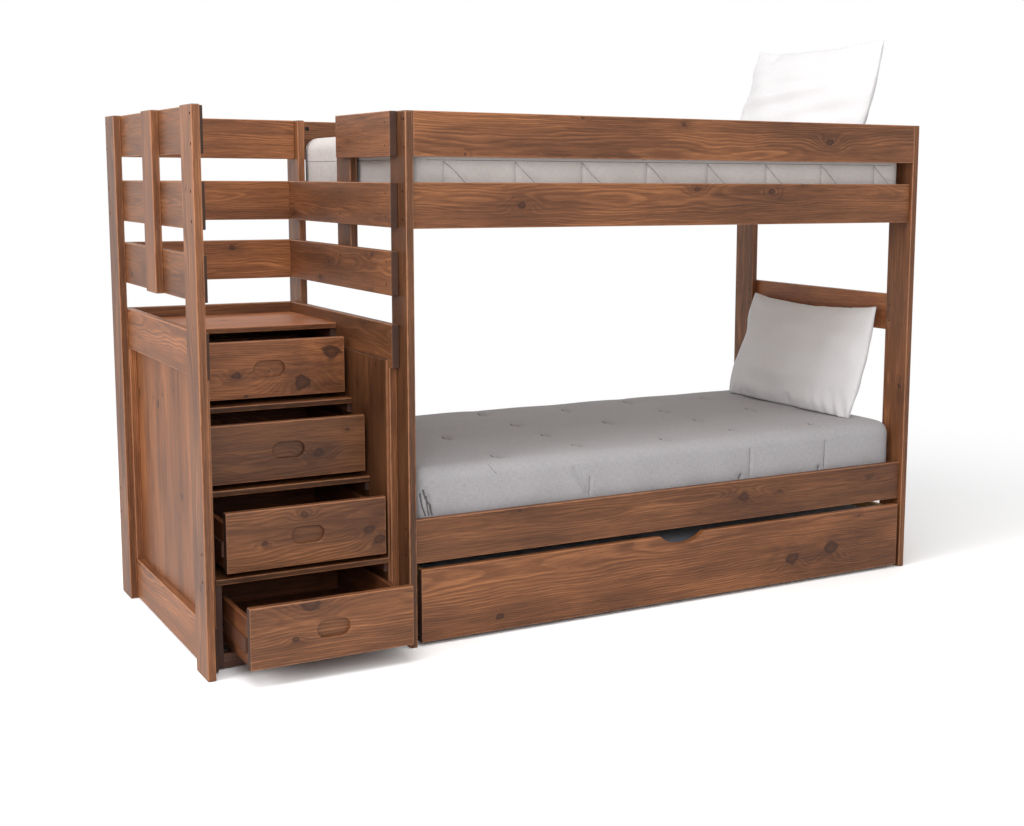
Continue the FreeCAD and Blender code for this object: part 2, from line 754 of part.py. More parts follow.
def casters():
    """Four casters under the trundle's ends; the two wheels on one line turn together."""
    under_end = "trundle_end_inset + trundle_board / 2"
    columns = (f"trundle_x + {under_end}", f"trundle_x + trundle_length - ({under_end})")
    forks = []
    for row, y in (("front", "caster_inset"), ("rear", "trundle_depth - caster_inset")):
        wheels = []
        for side, x in zip(("left", "right"), columns):
            fork, axle, wheel = caster(f"caster_{row}_{side}", x, y)
            forks += [fork, axle]
            wheels.append(wheel)
        group(f"trundle_wheels_{row}", wheels)
    group("caster_forks", forks)


# ---------------------------------------------------------------- fasteners


def add_shapes(label, shapes):
    """One node that holds several finished solids."""
    feature = doc.addObject("Part::Feature", label)
    feature.Shape = Part.makeCompound(shapes)
    feature.Placement = FreeCAD.Placement(FreeCAD.Vector(-size("origin_x"), -size("origin_y"), 0), FreeCAD.Rotation())
    return keep(feature, label)


def post_rail_points():
    """Every bolted joint: its point on the post's outer face, the way in, and the rail's inner side."""
    depth = size("bed_depth")
    recess = size("side_rail_recess")
    half = size("board") / 2
    rows = (
        (half, size("top_row_base") + size("rail_height") / 2),
        (recess + half, size("upper_rail_base") + size("side_rail_height") / 2),
        (recess + half, size("lower_rail_base") + size("side_rail_height") / 2),
    )
    for face, inwards in ((0.0, 1), (size("bed_length"), -1)):
        for inset, middle in rows:
            for y, inner in ((inset, 1), (depth - inset, -1)):
                for side in (-1, 1):
                    z = middle + side * size("bolt_pitch") / 2
                    yield FreeCAD.Vector(face, y, z), inwards, inner


def bolts():
    """A bolt through the post into a barrel nut in the rail, two at each rail end."""
    shapes = []
    sink = size("counterbore_depth") - size("bolt_head_length")
    grip = size("bolt_length")
    nut_x = size("board") + size("nut_inset")
    for point, inwards, inner in post_rail_points():
        along = FreeCAD.Vector(inwards, 0, 0)
        across = FreeCAD.Vector(0, inner, 0)
        start = point + along * sink
        head = Part.makeCylinder(size("bolt_head_radius"), size("bolt_head_length"), start, along)
        shank = Part.makeCylinder(size("bolt_radius"), grip, start, along)
        shapes.append(head.fuse(shank).removeSplitter())
        half = size("nut_length") - size("board") / 2
        nut_start = FreeCAD.Vector(point.x + inwards * nut_x, point.y - inner * half, point.z)
        nut = Part.makeCylinder(size("nut_radius"), size("nut_length"), nut_start, across)
        reach = 2 * size("nut_radius")
        bore_start = FreeCAD.Vector(nut_start.x - reach, point.y, point.z)
        bore_radius = size("bolt_radius") + size("nut_play")
        bore = Part.makeCylinder(bore_radius, 2 * reach, bore_start, FreeCAD.Vector(1, 0, 0))
        shapes.append(nut.cut(bore))
    add_shapes("bed_bolts", shapes)


def screw_points():
    """Each screw head: its point and the way that the screw runs."""
    half = size("screw_pitch") / 2
    rows = [size(name) + size("rail_height") / 2 for name in ("third_row_base", "second_row_base", "top_row_base")]
    near = size("end_setback") + size("screw_inset")
    far = size("rear_post_y") + size("end_setback") / 3
    at_post = size("entry_post_y") + size("end_setback") / 2
    for middle in rows:
        for z in (middle - half, middle + half):
            for y in (near, at_post):
                yield FreeCAD.Vector(-size("board"), y, z), 1
                yield FreeCAD.Vector(size("stair_inner_x"), y, z), -1
            yield FreeCAD.Vector(size("stair_inner_x"), far, z), -1
            if middle < rows[-1]:
                yield FreeCAD.Vector(-size("board"), far, z), 1
    for name in ("head_rail_base", "second_row_base", "top_row_base"):
        middle = size(name) + size("rail_height") / 2
        for z in (middle - half * 0.8, middle + half * 0.8):
            for y in (near, size("bed_depth") - near):
                yield FreeCAD.Vector(size("right_post_x"), y, z), 1


def screws():
    """Flush screws through one board into the next."""
    shapes = []
    lift = 0.2
    for point, way in screw_points():
        along = FreeCAD.Vector(way, 0, 0)
        start = point - along * lift
        head = Part.makeCylinder(size("screw_head_radius"), 3, start, along)
        shank = Part.makeCylinder(size("screw_radius"), size("screw_length"), start, along)
        shapes.append(head.fuse(shank).removeSplitter())
    add_shapes("wood_screws", shapes)


# ---------------------------------------------------------------- mattresses and pillows


def rounded_rectangle(centre, length, width, corner):
    """A closed wire of four sides and four quarter-turn corners, level at the centre's height."""
    edges = []
    a = length / 2 - corner
    b = width / 2 - corner
    turns = ((a, b, 0), (-a, b, 90), (-a, -b, 180), (a, -b, 270))
    points = []
    for x, y, first in turns:
        for angle in (first, first + 45, first + 90):
            radians = math.radians(angle)
            offset = FreeCAD.Vector(x + corner * math.cos(radians), y + corner * math.sin(radians), 0)
            points.append(centre + offset)
    for n in range(4):
        start, middle, stop = points[3 * n : 3 * n + 3]
        following = points[(3 * n + 3) % 12]
        edges.append(Part.Arc(start, middle, stop).toShape())
        edges.append(Part.LineSegment(stop, following).toShape())
    return Part.Wire(edges)


def soft_block(low, length, width, height, corner):
    """A mattress: sides drawn in between two edges, and a top that rises to a crown."""
    profile = (
        (0.0, 0.2),
        (0.06, 0.043),
        (0.14, 0.0),
        (0.5, 0.086),
        (0.86, 0.0),
        (0.94, 0.086),
        (0.985, 0.371),
        (1.0, 0.886),
    )
    wires = []
    for share, taper in profile:
        inset = taper * corner
        centre = low + FreeCAD.Vector(length / 2, width / 2, share * height)
        wires.append(rounded_rectangle(centre, length - 2 * inset, width - 2 * inset, corner))
    return Part.makeLoft(wires, True, True)


def tufted(block, low, length, width, height):
    """Sewn tufts: shallow dimples in rows over the crown."""
    columns = int(size("tuft_columns"))
    rows = int(size("tuft_rows"))
    radius = size("tuft_radius")
    drop = size("tuft_depth")
    tools = []
    for i in range(columns):
        for j in range(rows):
            x = length * (i + 0.5) / columns
            y = width * (j + 0.5) / rows
            centre = low + FreeCAD.Vector(x, y, height + radius - drop)
            tools.append(Part.makeSphere(radius, centre))
    return block.cut(Part.makeCompound(tools))


def mattresses():
    """One mattress on each deck, and a thinner one in the trundle."""
    end_gap = size("mattress_end_gap")
    side_gap = size("mattress_side_gap")
    length = size("clear_length") - 2 * end_gap
    width = size("slat_run") - 2 * side_gap
    for level in ("upper", "lower"):
        base = size(level + "_deck") + size("soft_clearance")
        low = FreeCAD.Vector(size("board") + end_gap, size("side_rail_inner_y") + side_gap, base)
        block = soft_block(low, length, width, size("mattress_height"), size("mattress_corner"))
        block = tufted(block, low, length, width, size("mattress_height"))
        add_shapes(level + "_mattress", [block])
    inset = size("trundle_end_inset") + size("trundle_board") + end_gap
    base = size("trundle_deck") + size("trundle_slat_thick") + size("soft_clearance")
    low = FreeCAD.Vector(size("trundle_x") + inset, size("board") + side_gap, base)
    length = size("trundle_length") - 2 * inset
    width = size("trundle_depth") - size("board") - size("trundle_board") - 2 * side_gap
    height = size("trundle_mattress_height")
    block = soft_block(low, length, width, height, size("mattress_corner"))
    add_shapes("trundle_mattress", [tufted(block, low, length, width, height)])


def pillow_outline(offset, width, height, bow):
    """Four corners joined by sides that bow inwards, standing in the plane x = offset."""
    half_width = width / 2
    half_height = height / 2
    corners = [(half_width, half_height), (-half_width, half_height), (-half_width, -half_height), (half_width, -half_height)]
    middles = [(0, half_height - bow), (-half_width + bow, 0), (0, -half_height + bow), (half_width - bow, 0)]
    edges = []
    for n in range(4):
        start = corners[n]
        stop = corners[(n + 1) % 4]
        points = [FreeCAD.Vector(offset, y, z) for y, z in (start, middles[n], stop)]
        edges.append(Part.Arc(*points).toShape())
    return Part.Wire(edges)


def pillow_shape(height):
    """A stuffed pillow with a full crown on both faces and drawn-in sides."""
    width = size("pillow_width")
    thick = size("pillow_thick")
    profile = ((-0.5, 1.0), (-0.44, 0.57), (-0.28, 0.2), (0.0, 0.0), (0.28, 0.2), (0.44, 0.57), (0.5, 1.0))
    wires = []
    for share, taper in profile:
        inset = taper * thick
        bow = size("pillow_bow") * (1 - taper / 2)
        wires.append(pillow_outline(share * thick, width - 2 * inset, height - 2 * inset, bow))
    return Part.makeLoft(wires, True, False)


def pillows():
    """A pillow on each bunk, stood on edge and leaning back towards the head end."""
    lean = size("pillow_lean")
    foot = size("bed_length") - size("board") - size("pillow_foot")
    span = size("pillow_width")
    below = Part.makePlane(2 * span, 2 * span, FreeCAD.Vector(-span, -span, -span))
    for level in ("upper", "lower"):
        top = size(level + "_deck") + size("soft_clearance") + size("mattress_height")
        height = size(level + "_pillow_height")
        pillow = pillow_shape(height)
        pillow.rotate(FreeCAD.Vector(), FreeCAD.Vector(0, 1, 0), lean)
        lift = top + size("soft_clearance") + span - pillow.distToShape(below)[0]
        x = foot + height / 2 * math.sin(math.radians(lean))
        pillow.translate(FreeCAD.Vector(x, size("bed_depth") / 2, lift))
        add_shapes(level + "_pillow", [pillow])


# ---------------------------------------------------------------- the whole bed


def check_document():
    """Every object is computed, and every sub-part has a sound solid shape."""
    for item in doc.Objects:
        if "Invalid" in item.State or "Error" in item.State:
            raise ValueError(f"{item.Name} failed: {item.State}")
    for item in parts:
        if item.Shape.isNull() or not item.Shape.isValid() or not item.Shape.Solids:
            raise ValueError(item.Label + " has no sound shape")


def write_parts():
    os.makedirs("parts", exist_ok=True)
    for item in parts:
        item.Shape.exportStep(f"parts/{item.Label}.step")
        print(f"{item.Label}: {len(item.Shape.Solids)} solids, {item.Shape.Volume / 1e6:.3f} dm3")
    print(f"{len(parts)} sub-parts")


bed_frame()
end_rails()
bed_decks()
stair_rails()
side_frame("left", "stair_rail_x", "stair_inner_x")
side_frame("right", "-board", "-board - panel_thick")
back_frame()
treads()
drawers()
trundle()
casters()
doc.recompute()
bolts()
screws()
mattresses()
pillows()
doc.recompute()
check_document()
write_parts()
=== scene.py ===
"""The bunk bed with storage stairs, dressed as in its photograph.

The frame brings every rigid piece. This script gives boards, fittings and fabrics their finishes,
models the mattresses and pillows, and sets the floor, the light and the camera. Lengths are metres.
"""

import logging
import math
import random
from dataclasses import dataclass
from enum import Enum

import bpy
import numpy as np
from mathutils import Matrix, Vector
from mathutils.bvhtree import BVHTree


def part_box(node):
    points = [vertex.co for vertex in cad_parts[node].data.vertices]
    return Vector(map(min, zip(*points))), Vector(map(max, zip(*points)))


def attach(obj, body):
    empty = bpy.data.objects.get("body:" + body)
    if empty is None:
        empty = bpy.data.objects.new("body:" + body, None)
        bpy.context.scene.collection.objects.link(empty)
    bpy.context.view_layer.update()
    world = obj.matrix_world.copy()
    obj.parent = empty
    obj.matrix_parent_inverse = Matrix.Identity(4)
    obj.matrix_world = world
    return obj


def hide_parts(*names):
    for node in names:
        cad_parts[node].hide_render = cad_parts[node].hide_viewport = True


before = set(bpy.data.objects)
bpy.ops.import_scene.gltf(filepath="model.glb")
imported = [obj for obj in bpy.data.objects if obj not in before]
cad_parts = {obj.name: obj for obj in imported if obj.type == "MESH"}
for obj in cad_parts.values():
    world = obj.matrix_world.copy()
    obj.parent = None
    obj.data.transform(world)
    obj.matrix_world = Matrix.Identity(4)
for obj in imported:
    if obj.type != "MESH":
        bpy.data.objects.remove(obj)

log = logging.getLogger("bunk_bed")

Colour = tuple[float, float, float, float]
Socket = bpy.types.NodeSocket
Feed = Socket | float | tuple[float, ...]
Line = tuple[tuple[float, float], ...]
Place = tuple[float, float, float]
Span = tuple[float, float]
MARKED_KNOTS = 3


def srgb(red: int, green: int, blue: int) -> Colour:
    """A linear colour from its screen values.

    Args:
        red: Red, 0 to 255.
        green: Green, 0 to 255.
        blue: Blue, 0 to 255.

    Returns:
        The linear colour with full alpha.
    """
    parts = []
    for part in (red / 255, green / 255, blue / 255):
        parts.append(part / 12.92 if part <= 0.04045 else ((part + 0.055) / 1.055) ** 2.4)
    return (parts[0], parts[1], parts[2], 1.0)


# ---------------------------------------------------------------- node trees


class Nodes:
    """Adds and links the nodes of one tree."""

    def __init__(self, tree: bpy.types.NodeTree) -> None:
        """Takes the tree to work on."""
        self.tree = tree

    def add(self, kind: str, **settings: object) -> bpy.types.Node:
        """Adds a node.

        Args:
            kind: The node's type.
            **settings: Its settings, by name.

        Returns:
            The new node.
        """
        node = self.tree.nodes.new(kind)
        for key, value in settings.items():
            setattr(node, key, value)
        return node

    def feed(self, socket: Socket, value: Feed) -> None:
        """Links a socket to another, or sets its value.

        Args:
            socket: The socket that is fed.
            value: Another socket, a number or a vector.
        """
        if isinstance(value, bpy.types.NodeSocket):
            self.tree.links.new(value, socket)
        else:
            socket.default_value = value

    def calc(self, operation: str, *values: Feed) -> Socket:
        """Places a Math node.

        Args:
            operation: What it works out.
            *values: The numbers that go in.

        Returns:
            The result.
        """
        node = self.add("ShaderNodeMath", operation=operation)
        for socket, value in zip(node.inputs, values):
            self.feed(socket, value)
        return node.outputs[0]

    def times(self, first: Feed, second: Feed) -> Socket:
        """The product of two numbers."""
        return self.calc("MULTIPLY", first, second)

    def plus(self, first: Feed, second: Feed) -> Socket:
        """The sum of two numbers."""
        return self.calc("ADD", first, second)

    def minus(self, first: Feed, second: Feed) -> Socket:
        """The difference of two numbers."""
        return self.calc("SUBTRACT", first, second)

    def weigh(self, first: Feed, second: Feed, share: float) -> Socket:
        """The mean of two numbers, with the second one's share."""
        return self.plus(self.times(first, 1.0 - share), self.times(second, share))

    def vector(self, operation: str, *values: Feed) -> Socket:
        """Places a Vector Math node.

        Args:
            operation: What it works out.
            *values: The vectors that go in.

        Returns:
            The result, a number for LENGTH and DOT_PRODUCT.
        """
        node = self.add("ShaderNodeVectorMath", operation=operation)
        for socket, value in zip(node.inputs, values):
            self.feed(socket, value)
        return node.outputs["Value" if operation in ("LENGTH", "DOT_PRODUCT") else "Vector"]

    def split(self, value: Socket) -> list[Socket]:
        """Takes a vector apart.

        Args:
            value: The vector.

        Returns:
            Its three parts.
        """
        node = self.add("ShaderNodeSeparateXYZ")
        self.feed(node.inputs[0], value)
        return list(node.outputs)

    def join(self, x: Feed, y: Feed, z: Feed) -> Socket:
        """Makes a vector.

        Args:
            x: Its first part.
            y: Its second part.
            z: Its third part.

        Returns:
            The vector.
        """
        node = self.add("ShaderNodeCombineXYZ")
        for socket, value in zip(node.inputs, (x, y, z)):
            self.feed(socket, value)
        return node.outputs[0]

    def noise(self, where: Socket, waves: Place, detail: float, rough: float = 0.5) -> bpy.types.Node:
        """A noise texture.

        Args:
            where: The place that it is read at.
            waves: Its scale along each axis.
            detail: Its number of octaves.
            rough: How strong the fine octaves are.

        Returns:
            The noise node.
        """
        node = self.add("ShaderNodeTexNoise")
        self.feed(node.inputs["Vector"], self.vector("MULTIPLY", where, waves))
        node.inputs["Scale"].default_value = 1.0
        node.inputs["Detail"].default_value = detail
        node.inputs["Roughness"].default_value = rough
        return node

    def haze(self, where: Socket, waves: Place, detail: float, rough: float = 0.5) -> Socket:
        """The value of a noise texture, of about 0.3 to 0.7."""
        return self.noise(where, waves, detail, rough).outputs["Fac"]

    def bump(self, height: Feed, strength: float, distance: float) -> Socket:
        """A normal that is tilted by relief.

        Args:
            height: The relief.
            strength: How much of it shows.
            distance: The depth that a height of 1 stands for.

        Returns:
            The tilted normal.
        """
        node = self.add("ShaderNodeBump")
        node.inputs["Strength"].default_value = strength
        node.inputs["Distance"].default_value = distance
        self.feed(node.inputs["Height"], height)
        return node.outputs[0]

    def smooth(
        self, value: Feed, low: Feed, high: Feed, first: float = 0.0, last: float = 1.0
    ) -> Socket:
        """A smooth step.

        Args:
            value: What is stepped.
            low: Where the step starts.
            high: Where it ends.
            first: The result before it.
            last: The result after it.

        Returns:
            The stepped value.
        """
        node = self.add("ShaderNodeMapRange", interpolation_type="SMOOTHSTEP")
        names = ("Value", "From Min", "From Max", "To Min", "To Max")
        for name, part in zip(names, (value, low, high, first, last)):
            self.feed(node.inputs[name], part)
        return node.outputs[0]

    def blend(self, factor: Feed, first: Feed, second: Feed, mode: str = "MIX") -> Socket:
        """Two colours blended.

        Args:
            factor: The share of the second.
            first: The first colour.
            second: The second colour.
            mode: How they are blended.

        Returns:
            The blended colour.
        """
        node = self.add("ShaderNodeMix", data_type="RGBA", blend_type=mode)
        factor_in, first_in, second_in, colour_out = 0, 6, 7, 2
        for index, value in ((factor_in, factor), (first_in, first), (second_in, second)):
            self.feed(node.inputs[index], value)
        return node.outputs[colour_out]

    def tint(self, colour: Feed, by: Feed) -> Socket:
        """A colour multiplied by another."""
        return self.blend(1.0, colour, by, "MULTIPLY")

    def use(self, group: bpy.types.NodeTree, **values: Feed) -> bpy.types.Node:
        """Places a node group.

        Args:
            group: The group.
            **values: Its inputs, with underscores for spaces.

        Returns:
            The group node.
        """
        node = self.add("ShaderNodeGroup", node_tree=group)
        for name, value in values.items():
            self.feed(node.inputs[name.replace("_", " ")], value)
        return node

    def attribute(self, name: str) -> Socket:
        """A vector that is kept on the mesh."""
        return self.add("ShaderNodeAttribute", attribute_name=name).outputs["Vector"]


def new_group(name: str, inputs: dict[str, float | None], outputs: tuple[str, ...]) -> bpy.types.NodeTree:
    """Starts a node group.

    Args:
        name: Its name.
        inputs: The default of each number, or None for a vector.
        outputs: The names of the numbers that it puts out.

    Returns:
        The group, with its input and output nodes.
    """
    tree = bpy.data.node_groups.new(name, "ShaderNodeTree")
    for label, default in inputs.items():
        kind = "NodeSocketVector" if default is None else "NodeSocketFloat"
        socket = tree.interface.new_socket(label, in_out="INPUT", socket_type=kind)
        if default is not None:
            socket.default_value = default
    for label in outputs:
        tree.interface.new_socket(label, in_out="OUTPUT", socket_type="NodeSocketFloat")
    tree.nodes.new("NodeGroupInput")
    tree.nodes.new("NodeGroupOutput")
    return tree


def new_material(name: str) -> tuple[bpy.types.Material, Nodes, bpy.types.Node]:
    """Starts a material.

    Args:
        name: Its name.

    Returns:
        The material, its nodes and its Principled BSDF.
    """
    material = bpy.data.materials.new(name)
    material.use_nodes = True
    return material, Nodes(material.node_tree), material.node_tree.nodes["Principled BSDF"]


# ---------------------------------------------------------------- effects that finishes share


class Effect(Enum):
    """The shared effects, each a node group that is built once."""

    PINE = "pine_figure"
    WEAVE = "cloth_weave"
    HANDLING = "handling_marks"


@dataclass(frozen=True)
class PineFigure:
    """The figure of a pine board: lengths in metres, and each noise's waves per metre."""

    luck_reach: Place = (31.0, 17.0, 23.0)
    ring_gap: float = 0.005
    knot_share: float = 0.4
    knot_cells: Place = (2.6, 7.5, 2.0)
    small_knot: Span = (0.003, 0.009)
    outline_waves: Place = (26.0, 34.0, 12.0)
    outline_sway: Span = (0.72, 1.28)
    smoke_waves: Place = (14.0, 26.0, 26.0)
    smoke_share: float = 0.75
    drift_waves: Place = (1.3, 4.0, 4.0)
    drift_reach: Place = (0.0, 0.1, 0.06)
    pith_span: float = 1.8
    pith_depth: Span = (0.035, 0.13)
    tremble_waves: Place = (9.0, 55.0, 55.0)
    tremble_reach: float = 0.0024
    showing_waves: Place = (1.7, 14.0, 14.0)
    fine_waves: Place = (22.0, 520.0, 520.0)
    streak_waves: Place = (6.0, 140.0, 140.0)
    streak_share: float = 0.6
    broad_waves: Place = (2.0, 7.0, 7.0)
    band_waves: Place = (2.2, 26.0, 26.0)
    band_share: float = 0.38
    # The rubbed edges also carry a painted highlight where light catches them.
    rub_and_highlight_waves: Place = (25.0, 60.0, 60.0)
    rub_and_highlight_start: float = 0.001
    rub_and_highlight_width: Span = (0.003, 0.0065)
    end_depth: Span = (0.0008, 0.0022)

    def build(self) -> bpy.types.NodeTree:
        """Builds the group of rings, fibres, knots, stain clouds, rubbed edges lightened also by a painted
        highlight, and end grain.

        Returns:
            The group. It reads the board's place, half sizes and luck from the mesh.
        """
        outputs = ("Rings", "Fibre", "Cloud", "Knot", "Eye", "Edge", "End", "Height")
        inputs = {"Ring Gap": self.ring_gap, "Knots": self.knot_share}
        tree = new_group(Effect.PINE.value, inputs, outputs)
        n = Nodes(tree)
        given, out = tree.nodes["Group Input"].outputs, tree.nodes["Group Output"].inputs
        place, half, luck = (n.attribute(f"board_{name}") for name in ("place", "half", "luck"))
        spot = n.vector("ADD", place, n.vector("MULTIPLY", luck, self.luck_reach))
        swell, knot, eye = self.knots(n, place, spot, given["Knots"])
        rings = self.rings(n, (place, spot, half, luck), swell, given["Ring Gap"])
        fine, streak = n.haze(spot, self.fine_waves, 3.0, 0.65), n.haze(spot, self.streak_waves, 3.0, 0.7)
        broad, band = n.haze(spot, self.broad_waves, 2.0), n.haze(spot, self.band_waves, 3.0, 0.55)
        fibre = n.smooth(n.weigh(fine, streak, self.streak_share), 0.34, 0.66)
        cloud = n.smooth(n.weigh(broad, band, self.band_share), 0.34, 0.66)
        edge, end = self.wear_and_highlight(n, place, spot, half)
        height = n.minus(n.weigh(rings, fibre, 0.5), n.times(eye, 0.6))
        for name, value in zip(outputs, (rings, fibre, cloud, knot, eye, edge, end, height)):
            n.feed(out[name], value)
        return tree

    def knots(self, n: Nodes, place: Socket, spot: Socket, share: Socket) -> tuple[Socket, Socket, Socket]:
        """Small knots by chance, and the large ones that are marked on the board.

        Args:
            n: The group's nodes.
            place: The place on the board.
            spot: The place in the noises, which differs from board to board.
            share: The share of cells that hold a small knot.

        Returns:
            How far they swell the rings, their mask with the stain round them, and their dark rims.
        """
        cells = n.add("ShaderNodeTexVoronoi", feature="F1")
        stretched = n.vector("MULTIPLY", spot, self.knot_cells)
        n.feed(cells.inputs["Vector"], stretched)
        cells.inputs["Scale"].default_value = 1.0
        offset = n.vector("SUBTRACT", stretched, cells.outputs["Position"])
        chance, girth, _ = n.split(cells.outputs["Color"])
        radius = n.smooth(girth, 0.0, 1.0, *self.small_knot)
        ragged = n.haze(spot, self.outline_waves, 1.5)
        away = n.vector("DIVIDE", offset, self.knot_cells)
        found = self.knot(n, away, radius, n.calc("LESS_THAN", chance, share), ragged)
        for number in range(MARKED_KNOTS):
            x, y, broad = n.split(n.attribute(f"board_knot_{number}"))
            chosen = n.calc("GREATER_THAN", broad, 0.0)
            away = n.vector("SUBTRACT", place, n.join(x, y, 0.0))
            large = self.knot(n, away, n.calc("MAXIMUM", broad, 0.001), chosen, ragged)
            found = tuple(n.calc("MAXIMUM", one, other) for one, other in zip(found, large))
        swell, knot, rim, halo = found
        smoke = n.smooth(n.haze(spot, self.smoke_waves, 3.0, 0.6), 0.3, 0.7)
        stain = n.times(n.times(halo, smoke), self.smoke_share)
        return swell, n.calc("MAXIMUM", knot, stain), rim

    def knot(
        self, n: Nodes, away: Socket, radius: Socket, present: Socket, ragged: Socket
    ) -> tuple[Socket, ...]:
        """One knot and what it does to the board round it.

        Args:
            n: The group's nodes.
            away: The place from the knot's middle.
            radius: The knot's radius.
            present: 1 where there is a knot.
            ragged: A noise that makes its outline uneven.

        Returns:
            How far it swells the rings, its own mask, its dark rim and the smoky stain round it.
        """
        eye_stretch, flow_stretch = 0.75, 0.45
        flow_radii, swell_radii, halo_radii, rim_share = 2.0, 1.6, 3.4, 0.6
        x, y, _ = n.split(away)
        face = n.vector("LENGTH", n.join(n.times(x, eye_stretch), y, 0.0))
        face = n.times(face, n.smooth(ragged, 0.28, 0.72, *self.outline_sway))
        inside = n.calc("DIVIDE", face, radius)
        flow = n.vector("LENGTH", n.join(n.times(x, flow_stretch), y, 0.0))
        bulge = self.fading(n, n.calc("DIVIDE", flow, n.times(radius, flow_radii)))
        halo = self.fading(n, n.calc("DIVIDE", flow, n.times(radius, halo_radii)))
        swell = n.times(n.times(bulge, present), n.times(radius, swell_radii))
        knot = n.times(n.smooth(inside, 0.8, 1.2, 1.0, 0.0), present)
        rim = n.times(n.times(n.smooth(inside, 0.1, 0.9), knot), rim_share)
        return swell, knot, rim, n.times(halo, present)

    def fading(self, n: Nodes, away: Socket) -> Socket:
        """A bell curve, 1 at a distance of 0."""
        return n.calc("EXPONENT", n.times(n.times(away, away), -1.0))

    def rings(self, n: Nodes, board: tuple[Socket, ...], swell: Socket, gap: Socket) -> Socket:
        """Growth rings about a pith behind the board's face.

        Args:
            n: The group's nodes.
            board: The place on the board, the place in the noises, its half sizes and its luck.
            swell: How far knots push the rings out.
            gap: The usual width of a ring.

        Returns:
            The share of late wood.
        """
        place, spot, half, luck = board
        luck_x, luck_y, luck_z = n.split(luck)
        drift = n.noise(spot, self.drift_waves, 3.0).outputs["Color"]
        drift = n.vector("MULTIPLY", n.vector("SUBTRACT", drift, (0.5, 0.5, 0.5)), self.drift_reach)
        _, bent_y, bent_z = n.split(n.vector("ADD", place, drift))
        pith_y = n.times(n.minus(luck_x, 0.5), n.times(n.split(half)[1], self.pith_span))
        pith_z = n.smooth(luck_y, 0.0, 1.0, *self.pith_depth)
        radial = n.vector("LENGTH", n.join(0.0, n.minus(bent_y, pith_y), n.plus(bent_z, pith_z)))
        tremble = n.times(n.haze(spot, self.tremble_waves, 3.0), self.tremble_reach)
        radial = n.plus(n.plus(radial, swell), tremble)
        phase = n.calc("DIVIDE", radial, n.times(gap, n.smooth(luck_z, 0.0, 1.0, 0.75, 1.4)))
        ring = n.calc("FRACT", phase)
        year = n.add("ShaderNodeTexWhiteNoise", noise_dimensions="1D")
        n.feed(year.inputs["W"], n.plus(n.calc("FLOOR", phase), n.times(luck_z, 40.0)))
        late = n.times(n.smooth(ring, 0.15, 0.75), n.smooth(ring, 0.85, 1.0, 1.0, 0.0))
        rings = n.times(late, n.smooth(year.outputs["Value"], 0.0, 1.0, 0.35, 1.0))
        rings = n.times(rings, n.smooth(n.haze(spot, self.showing_waves, 2.0), 0.32, 0.62, 0.5, 1.0))
        return n.times(rings, n.smooth(luck_y, 0.0, 0.8, 0.65, 1.0))

    def wear_and_highlight(self, n: Nodes, place: Socket, spot: Socket, half: Socket) -> tuple[Socket, Socket]:
        """Rubbed edges, also lightened as a painted highlight, and sawn ends.

        Args:
            n: The group's nodes.
            place: The place on the board.
            spot: The place in the noises.
            half: The board's half sizes.

        Returns:
            The mask of the edges and that of the ends.
        """
        gap_x, gap_y, gap_z = n.split(n.vector("SUBTRACT", half, n.vector("ABSOLUTE", place)))
        least = n.calc("MINIMUM", gap_x, n.calc("MINIMUM", gap_y, gap_z))
        most = n.calc("MAXIMUM", gap_x, n.calc("MAXIMUM", gap_y, gap_z))
        total = n.plus(gap_x, n.plus(gap_y, gap_z))
        middle = n.minus(total, n.plus(least, most))
        width = n.smooth(n.haze(spot, self.rub_and_highlight_waves, 2.0), 0.3, 0.7, *self.rub_and_highlight_width)
        edge = n.smooth(middle, self.rub_and_highlight_start, width, 1.0, 0.0)
        end = n.smooth(gap_x, *self.end_depth, 1.0, 0.0)
        return n.times(edge, n.minus(1.0, end)), end


@dataclass(frozen=True)
class PlainWeave:
    """A plain weave of slightly uneven threads."""

    pitch: float = 0.0012
    slub_waves: Span = (45.0, 700.0)
    fleck_waves: float = 420.0

    def build(self) -> bpy.types.NodeTree:
        """Builds the group of the weave.

        Returns:
            The group, with the cloth's own coordinates and its thread pitch as inputs.
        """
        inputs = {"Cloth": None, "Pitch": self.pitch}
        tree = new_group(Effect.WEAVE.value, inputs, ("Height", "Slub", "Fleck"))
        n = Nodes(tree)
        given, out = tree.nodes["Group Input"].outputs, tree.nodes["Group Output"].inputs
        along, across, _ = n.split(given["Cloth"])
        turn = n.calc("DIVIDE", math.pi, given["Pitch"])
        warp = n.calc("SINE", n.times(along, turn))
        weft = n.calc("SINE", n.times(across, turn))
        over = n.calc("GREATER_THAN", n.times(warp, weft), 0.0)
        under = n.minus(1.0, over)
        up = n.times(n.calc("ABSOLUTE", warp), over)
        down = n.times(n.calc("ABSOLUTE", weft), under)
        n.feed(out["Height"], n.plus(up, down))
        slow, fast = self.slub_waves
        long = n.haze(given["Cloth"], (slow, fast, 1.0), 2.0)
        wide = n.haze(given["Cloth"], (fast, slow, 1.0), 2.0)
        n.feed(out["Slub"], n.smooth(n.plus(n.times(long, over), n.times(wide, under)), 0.3, 0.7))
        fleck = n.haze(given["Cloth"], (self.fleck_waves, self.fleck_waves, 1.0), 1.0)
        n.feed(out["Fleck"], n.smooth(fleck, 0.68, 0.78))
        return tree


